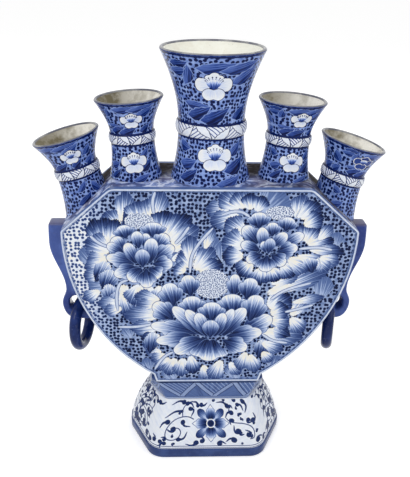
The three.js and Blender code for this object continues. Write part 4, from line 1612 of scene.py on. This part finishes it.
@dataclass
class Shell:
    """A wall through octagonal sections, with its outside unrolled on a canvas."""

    sections: Sequence[tuple[float, Octagon, float]]  # height, octagon, inset; upwards
    radius: float
    wall: float
    loops: list[list[Vector]] = field(init=False)
    rows: list[float] = field(init=False)
    columns: list[float] = field(init=False)

    def __post_init__(self) -> None:
        """Works out the loops, and the canvas's rows and columns."""
        self.loops = []
        for height, octagon, inset in self.sections:
            loop = octagon.outline(self.radius, inset)
            self.loops.append([Vector((p.x, p.y, height)) for p in [*loop, loop[0]]])
        front = len(self.loops[0]) // 2
        self.rows = [0.0, *accumulate((b[front] - a[front]).length
                                      for a, b in zip(self.loops, self.loops[1:]))]
        widest = self.loops[len(self.loops) // 3]
        pairs = list(zip(widest, widest[1:]))
        lengths = [0.0, *accumulate((b - a).length for a, b in pairs)]
        zero = next(length - a.x for length, (a, b) in zip(lengths, pairs)
                    if a.x < 0 < b.x and a.y < 0)
        self.columns = [length - zero for length in lengths]

    def place(self, point: Vector) -> Vector:
        """Takes a point of the canvas to the outside of the wall.

        Args:
            point: the point.

        Returns:
            Its place, in millimetres.
        """
        k = min(max(bisect_right(self.rows, point.y) - 1, 0), len(self.rows) - 2)
        i = min(max(bisect_right(self.columns, point.x) - 1, 0), len(self.columns) - 2)
        up = (point.y - self.rows[k]) / (self.rows[k + 1] - self.rows[k])
        along = (point.x - self.columns[i]) / (self.columns[i + 1] - self.columns[i])
        low, high = (loop[i].lerp(loop[i + 1], along) for loop in self.loops[k:k + 2])
        return low.lerp(high, up)

    def canvas(self, ground: Ink) -> Canvas:
        """Returns the wall's canvas, bare."""
        return Canvas.unrolled(self.columns, self.rows, ground)

    def skin(self, canvas: Canvas, ink: Ink) -> Skin:
        """Wraps the outside, gives it an inner wall and closes both rims.

        Args:
            canvas: the painted outside.
            ink: the ink of all the rest.

        Returns:
            The wall's skin.
        """
        skin = Skin()
        bm = skin.bm
        skin.add_canvas(canvas, self.place)
        bmesh.ops.remove_doubles(bm, verts=bm.verts, dist=WELD)
        outside = set(bm.faces)
        inner = {}
        for height, octagon, inset in (self.sections[0], self.sections[-1]):
            loop = octagon.outline(self.radius, self.wall + inset)
            inner[height] = edges_of(thread(bm, [(p.x, p.y, height) for p in loop]))
        bmesh.ops.bridge_loops(bm, edges=sum(inner.values(), []))
        for height, edges in inner.items():
            rim = [e for e in bm.edges if len(e.link_faces) == 1 and e not in edges
                   and all(abs(v.co.z - height) < LEVEL for v in e.verts)]
            bmesh.ops.triangle_fill(bm, edges=rim + edges, use_beauty=True, normal=(0, 0, 1))
        skin.paint_rest([f for f in bm.faces if f not in outside], ink,
                        lambda co: (co.x, co.y + co.z))
        bmesh.ops.recalc_face_normals(bm, faces=bm.faces)
        return skin


@dataclass
class Pedestal:
    """The waist band, the flared foot and the ring that it stands on."""

    paint: Material
    cobalt: Material
    waist_top: Octagon = Octagon(36.6, 31.0, 42.0, 26.5)
    waist_bottom: Octagon = Octagon(31.0, 27.0, 43.4, 6.0)
    waist_heights: Point = (41.33, 59.57)
    waist_wall: float = 6.5
    waist_radius: float = 3.0
    zigzag_length: float = 24.6
    foot_top: Octagon = Octagon(33.2, 28.6, 45.0, 6.0)
    foot_bottom: Octagon = Octagon(41.0, 44.6, 58.6, 6.0)
    foot_heights: Point = (8.03, 41.3)
    foot_bulge: float = 0.65
    foot_round: float = 0.8
    foot_wall: float = 5.0
    foot_radius: float = 14.0
    ring_height: float = 8.0
    ring_ledge: float = 0.8
    ring_thickness: float = 6.5
    ring_round: float = 1.5
    vine_shift: float = 19.0  # from the flower's place to the middle of the scrolls beside it

    def build(self) -> None:
        """Builds the three pieces."""
        self.waist()
        self.foot()
        self.foot_ring()

    def waist(self) -> None:
        """Builds the waist with its hatched zig-zag."""
        low, high = self.waist_heights
        sections = [(low + (high - low) * k / 6,
                     self.waist_bottom.towards(self.waist_top, k / 6), 0.0) for k in range(7)]
        shell = Shell(sections, self.waist_radius, self.waist_wall)
        canvas = shell.canvas(WAIST_BLUE)
        top = shell.rows[-1]
        cells = round((shell.columns[-1] - shell.columns[0]) / self.zigzag_length)
        canvas.zigzag(2.4, top - 1.4, cells, Zigzag(3.9, 0.7, 0.6, SOFT_BLUE, DEEP_BLUE,
                                                    SOFT_BLUE, 0.6, 7, even=True))
        for low, high, ink in ((0.3, 2.6, WAIST_BLUE), (0.9, 1.7, PALE_BLUE),
                               (1.7, 2.2, DEEP_BLUE), (top - 1.6, top - 0.3, NAVY)):
            canvas.ring(low, high, ink)
        shell.skin(canvas, WAIST_BLUE).finish("hatched_waist", [self.paint], "vase",
                                              "waist_band", "waist_collar")

    def foot_section(self, share: float) -> Octagon:
        """Returns the foot's section at a share of its height."""
        bent = share - self.foot_bulge * share * (1 - share)
        return self.foot_bottom.towards(self.foot_top, bent)

    def foot_shell(self) -> Shell:
        """Returns the foot's wall."""
        low, crown = self.foot_heights[0], self.foot_heights[1] - self.foot_round
        sections = [(low + (crown - low) * k / 14, self.foot_section(k / 14), 0.0)
                    for k in range(15)]
        for angle in (math.radians(turn) for turn in (30, 60, 90)):
            sections.append((crown + self.foot_round * math.sin(angle), self.foot_top,
                             self.foot_round * (1 - math.cos(angle))))
        return Shell(sections, self.foot_radius, self.foot_wall)

    def foot(self) -> None:
        """Builds the foot with its flower and scrolls."""
        shell = self.foot_shell()
        canvas = shell.canvas(FOOT_WHITE)
        canvas.ring(0.3, 0.8, COBALT)
        canvas.ring(1.8, 2.4, COBALT)
        third = self.foot_section(1 / 3)
        slant = (third.side - third.front) * 2.25
        for way in (-1, 1):
            for share, kind in ((0.42, way), (0.8, -way), (1.2, -way), (1.6, way), (1.98, way)):
                self.vines(canvas, way * (third.front + slant * share), kind)
        for middle in (0.0, shell.columns[-1] - third.front):
            for way in (-1, 1):
                self.vines(canvas, middle, way, spread=True)
            self.flower(canvas, Vector((middle + FOOT_FLOWER[0], FOOT_FLOWER[1])))
        shell.skin(canvas, WHITE).finish("scrolled_foot", [self.paint], "vase", "painted_foot",
                                         "pedestal_foot")

    def flower(self, canvas: Canvas, centre: Vector) -> None:
        """Paints the eight-petalled flower in the middle of a face.

        Args:
            canvas: the canvas.
            centre: the flower's middle.
        """
        def ends(quarters: float, start: float) -> list[Point]:
            """Returns where a petal starts and ends that points a number of quarter turns round."""
            angle = math.pi / 2 * quarters
            way = Vector((math.cos(angle), math.sin(angle)))
            return [tuple(centre + way * reach) for reach in (start, 15.0)]

        for i in range(4):
            canvas.mark(Petal(*ends(i + 0.5, 3.5), 7.0, 1), BLUNT_PETAL)
        for i in range(4):
            canvas.mark(Leaf(*ends(i, 1.0), 9.0, 0.0), POINTED_PETAL, FINE_LINE, 0.35)
        for radius, ink in ((3.5, WHITE), (2.8, COBALT), (2.1, NAVY)):
            canvas.mark(spot(tuple(centre), radius, radius), ink)

    def vines(self, canvas: Canvas, middle: float, way: int, spread: bool = False) -> None:
        """Paints the scrolls of vine and their commas on one half of a face, or on a slanted face.

        Args:
            canvas: the canvas.
            middle: the face's middle on the canvas.
            way: -1 for the scrolls left of the flower, 1 for those right of it.
            spread: whether they keep clear of a flower in the face's middle.
        """
        shift = middle if spread else middle - way * self.vine_shift
        for vine in FOOT_VINES:
            if vine[0][0] * way > 0:
                canvas.line([(x + shift, y) for x, y in vine], 0.8, COBALT)
        for x0, y0, x1, y1, width, bend in LEFT_SCROLL if way < 0 else RIGHT_SCROLL:
            tail = (x1 + shift + (x1 - x0) * 0.15, y1 + (y1 - y0) * 0.15)
            canvas.mark(Comma((x0 + shift, y0), tail, width, bend), VINE)

    def foot_ring(self) -> None:
        """Builds the ring: an outline given width, raised and rounded."""
        skin = Skin()
        bm = skin.bm
        outline = self.foot_bottom.outline(self.foot_radius, -self.ring_ledge)
        line = thread(bm, [(p.x, p.y, 0.0) for p in outline])
        raised = bmesh.ops.extrude_edge_only(bm, edges=edges_of(line))
        raise_up(bm, raised, (0, 0, self.ring_height))
        bmesh.ops.solidify(bm, geom=bm.faces[:], thickness=self.ring_thickness)
        bmesh.ops.recalc_face_normals(bm, faces=bm.faces)
        round_edges(bm, self.ring_round, 4, lambda a, b: abs(a.z - b.z) < LEVEL)
        skin.finish("cobalt_foot_ring", [self.cobalt], "vase", "cobalt_foot_ring", "foot_ring")


@dataclass
class Handle:
    """A lug with its loose ring, on one side of the vase."""

    side: int
    twist: float
    lug_glaze: Material
    ring_glaze: Material
    half_width: float = 102.0
    side_radius: float = 136.0
    side_top: float = 180.0
    top: float = 177.0
    under: float = 99.2
    eye: tuple[float, float, float] = (102.6, 106.2, 118.8)  # end, bottom and top
    eye_round: float = 5.0
    out: float = 108.1
    waist: Point = (104.9, 124.5)  # where the strap's outside lies furthest in
    bulge: Point = (114.9, 162.0)  # and furthest out
    crown_round: float = 2.4
    depth: float = 12.0
    edge: float = 2.4
    ring_radius: float = 17.6
    ring_tube: float = 4.25
    ring_top: Point = (94.8, 111.35)

    def build(self) -> None:
        """Builds the lug and the ring."""
        way = "left" if self.side < 0 else "right"
        self.lug(f"lug_handle_{way}", f"cobalt_lug_{way}")
        self.ring(f"loose_ring_{way}", f"cobalt_ring_{way}", f"ring_{way}")

    def wall_at(self, height: float) -> Vector:
        """Returns the place of the side slab's face at a height."""
        drop = max(0.0, self.side_top - height)
        fall = math.sqrt(self.side_radius**2 - drop**2)
        return Vector((self.half_width - self.side_radius + fall + 0.03, height))

    def outline(self) -> list[Vector]:
        """Returns the lug's outline in x and z, counter-clockwise."""
        end, low, high = self.eye
        ease, corner, middle = self.eye_round, end - self.eye_round, (low + high) / 2
        (waist_x, waist_z), (bulge_x, bulge_z) = self.waist, self.bulge
        outer, top = (self.out, middle), (bulge_x - 0.3, self.top - self.crown_round)
        swing = (bulge_z - waist_z) * 0.36
        inner = [self.top + (high - self.top) * i / 20 for i in range(21)]
        return [
            self.wall_at(self.under),
            *bezier(14, (corner, self.under), (self.out - ease / 2, self.under),
                    (self.out, middle - ease), outer),
            *bezier(12, outer, (self.out, middle + ease), (waist_x, waist_z - ease),
                    self.waist)[1:],
            *bezier(18, self.waist, (waist_x, waist_z + swing), (bulge_x, bulge_z - swing),
                    self.bulge)[1:],
            *bezier(8, self.bulge, (bulge_x, (bulge_z + self.top) / 2), top)[1:],
            *bezier(8, top, (top[0], self.top), (top[0] - self.crown_round, self.top))[1:],
            *map(self.wall_at, inner),
            *arc((corner, high - ease), ease, 90, 0), *arc((corner, low + ease), ease, 0, -90),
            *map(self.wall_at, (low, (low + self.under) / 2))]

    def lug(self, node: str, name: str) -> None:
        """Builds the lug: its outline extruded and rounded.

        Args:
            node: its CAD node.
            name: the piece's name.
        """
        skin = Skin()
        bm = skin.bm
        bm.faces.new([bm.verts.new((p.x * self.side, -self.depth / 2, p.y))
                      for p in self.outline()])
        bmesh.ops.remove_doubles(bm, verts=bm.verts, dist=0.05)
        raise_up(bm, bmesh.ops.extrude_face_region(bm, geom=bm.faces[:]), (0, self.depth, 0))
        round_edges(bm, self.edge, 5, lambda a, b: abs(a.y - b.y) < LEVEL)
        skin.finish(name, [self.lug_glaze], "vase", "cobalt_handle", node)

    def ring(self, node: str, name: str, body: str) -> None:
        """Builds the ring: a circle spun about its middle.

        Args:
            node: its CAD node.
            name: the piece's name.
            body: the body that it rides on.
        """
        skin = Skin()
        bm = skin.bm
        circle = bmesh.ops.create_circle(
            bm, cap_ends=False, radius=self.ring_tube, segments=24,
            matrix=(Matrix.Translation((self.ring_radius, 0, 0))
                    @ Matrix.Rotation(math.pi / 2, 4, "X")))["verts"]
        spin(bm, circle + list({e for v in circle for e in v.link_edges}), 80)
        x, z = self.ring_top
        place = (Matrix.Translation((x * self.side, 0, z))
                 @ Matrix.Rotation(-math.radians(self.twist), 4, "Z")
                 @ Matrix.Translation((0, 0, -self.ring_radius))
                 @ Matrix.Rotation(math.pi / 2, 4, "Y"))
        bmesh.ops.transform(bm, matrix=place, verts=bm.verts)
        bmesh.ops.recalc_face_normals(bm, faces=bm.faces)
        skin.finish(name, [self.ring_glaze], body, "cobalt_ring", node)


# The stage

@dataclass(frozen=True)
class PhotoCamera:
    """The camera: where the photograph was taken from, in millimetres, degrees and pixels."""

    place: tuple[float, float, float] = (-25.553, -465.596, 366.287)
    yaw: float = 2.82
    pitch: float = 23.57
    roll: float = 1.23
    focal: float = 695.964
    frame_height: int = 477
    sensor: float = 36.0

    def build(self) -> None:
        """Makes the camera and hands it to the scene."""
        yaw, pitch, roll = (math.radians(a) for a in (self.yaw, self.pitch, self.roll))
        ahead = Vector((math.sin(yaw) * math.cos(pitch), math.cos(yaw) * math.cos(pitch),
                        -math.sin(pitch)))
        level = Vector((math.cos(yaw), -math.sin(yaw), 0))
        above = level.cross(ahead)
        right = level * math.cos(roll) + above * math.sin(roll)
        up = above * math.cos(roll) - level * math.sin(roll)
        data = bpy.data.cameras.new("photo_camera")
        data.sensor_width = self.sensor
        data.lens = self.focal * self.sensor / self.frame_height
        data.clip_start, data.clip_end = 0.01, 50.0
        camera = linked("photo_camera", data)
        turn = Matrix((right, up, -ahead)).transposed().to_4x4()
        camera.matrix_world = Matrix.Translation(Vector(self.place) * MM) @ turn
        bpy.context.scene.camera = camera


@dataclass(frozen=True)
class Studio:
    """Soft lamps, a pale world and the floor."""

    world: float = 0.6
    shown: float = 1.0
    floor_size: float = 60.0
    aim: tuple[float, float, float] = (0.0, 0.0, 0.15)
    lamps: tuple = (
        # name, place, size, watts
        ("key_lamp", (-0.7, -0.9, 1.25), 0.9, 7.0),
        ("fill_lamp", (1.0, -0.7, 0.8), 0.9, 3.0),
        ("back_lamp", (0.2, 1.0, 1.2), 0.8, 3.0))

    def build(self) -> None:
        """Builds the stage."""
        self.light()
        self.floor()
        for name, place, size, watts in self.lamps:
            data = bpy.data.lights.new(name, "AREA")
            data.shape, data.size, data.energy = "DISK", size, watts
            aim = Vector(self.aim) - Vector(place)
            linked(name, data).matrix_world = (
                Matrix.Translation(place) @ aim.to_track_quat("-Z", "Y").to_matrix().to_4x4())

    def seen(self, graph: Graph, *others: str) -> Value:
        """Tells rays apart.

        Args:
            graph: the graph.
            others: outputs of the Light Path node, by name.

        Returns:
            1 for the rays of the camera, of reflections and of the others, 0 for the rest.
        """
        path = graph.node("LightPath")
        share = Value(graph, path.outputs["Is Camera Ray"])
        for ray in ("Is Glossy Ray", *others):
            share = share.at_least(path.outputs[ray])
        return share

    def light(self) -> None:
        """Sets the world: pale to the piece, white to the camera and in reflections."""
        world = bpy.data.worlds.new("studio_world")
        bpy.context.scene.world = world
        graph = Graph(world)
        seen = self.seen(graph, "Is Transmission Ray")
        strength = self.world + seen * (self.shown - self.world)
        back = graph.value("Background", {"Color": (1, 1, 1, 1), "Strength": strength})
        graph.node("OutputWorld", {0: back})

    def floor(self) -> None:
        """Lays the floor: white paper that keeps the vase's shadow."""
        bm = bmesh.new()
        bmesh.ops.create_grid(bm, x_segments=1, y_segments=1, size=self.floor_size / 2)
        mesh = bpy.data.meshes.new("floor")
        bm.to_mesh(mesh)
        bm.free()
        graph = Graph(bpy.data.materials.new("floor_paper"))
        paper = graph.value("BsdfDiffuse", {"Color": (0.93, 0.93, 0.93, 1)})
        glow = graph.value("Emission", {"Color": (1, 1, 1, 1),
                                        "Strength": self.seen(graph) * 0.42})
        both = graph.value("AddShader", {0: paper, 1: glow})
        graph.node("OutputMaterial", {0: both})
        mesh.materials.append(graph.owner)
        linked("floor", mesh)


def main() -> None:
    """Builds the vase on its stage."""
    logging.basicConfig(level=logging.INFO, format="%(message)s")
    bpy.context.scene.view_settings.view_transform = "Standard"
    PhotoCamera().build()
    Studio().build()
    porcelain = PaintedPorcelain("painted_porcelain").build()
    spout_porcelain = PaintedPorcelain("spout_porcelain", 38.0, (
        srgb(240, 244, 250), srgb(160, 184, 236), srgb(84, 112, 186), srgb(34, 62, 138),
        srgb(0, 14, 66))).build()
    cream = CreamGlaze("inner_glaze", srgb(250, 250, 241), srgb(230, 224, 208)).build()
    # the small spouts' inside: a copy of the cream with painted shade on the bore's left
    shaded_cream = CreamGlaze("shaded_glaze", srgb(255, 252, 243), srgb(124, 116, 92),
                            0.85).build()
    lip = CobaltGlaze("lip_glaze", srgb(108, 110, 122), srgb(190, 190, 186)).build()
    # 0.55: painted light on the left lug's upper strap, and the lugs' brown tops
    cobalt = CobaltGlaze("handle_cobalt", srgb(48, 66, 134), srgb(86, 110, 180), 0.55).build()
    ring_cobalt = CobaltGlaze("ring_cobalt", srgb(20, 38, 90), srgb(44, 68, 138)).build()
    foot_cobalt = CobaltGlaze("foot_cobalt", srgb(46, 64, 114), srgb(66, 88, 142)).build()
    Reservoir(porcelain, MottledGlaze("shoulder_glaze").build()).build()
    Pedestal(porcelain, foot_cobalt).build()
    for spout in SPOUTS:
        inner = cream if spout.name == "spout_centre" else shaded_cream
        spout.build([spout_porcelain, inner, lip])
    for side, twist in ((-1, 12.0), (1, 15.0)):
        Handle(side, twist, cobalt, ring_cobalt).build()
    floor_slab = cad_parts["floor_slab"]
    floor_slab.data.materials.clear()
    floor_slab.data.materials.append(cream)


if __name__ == "__main__":
    main()
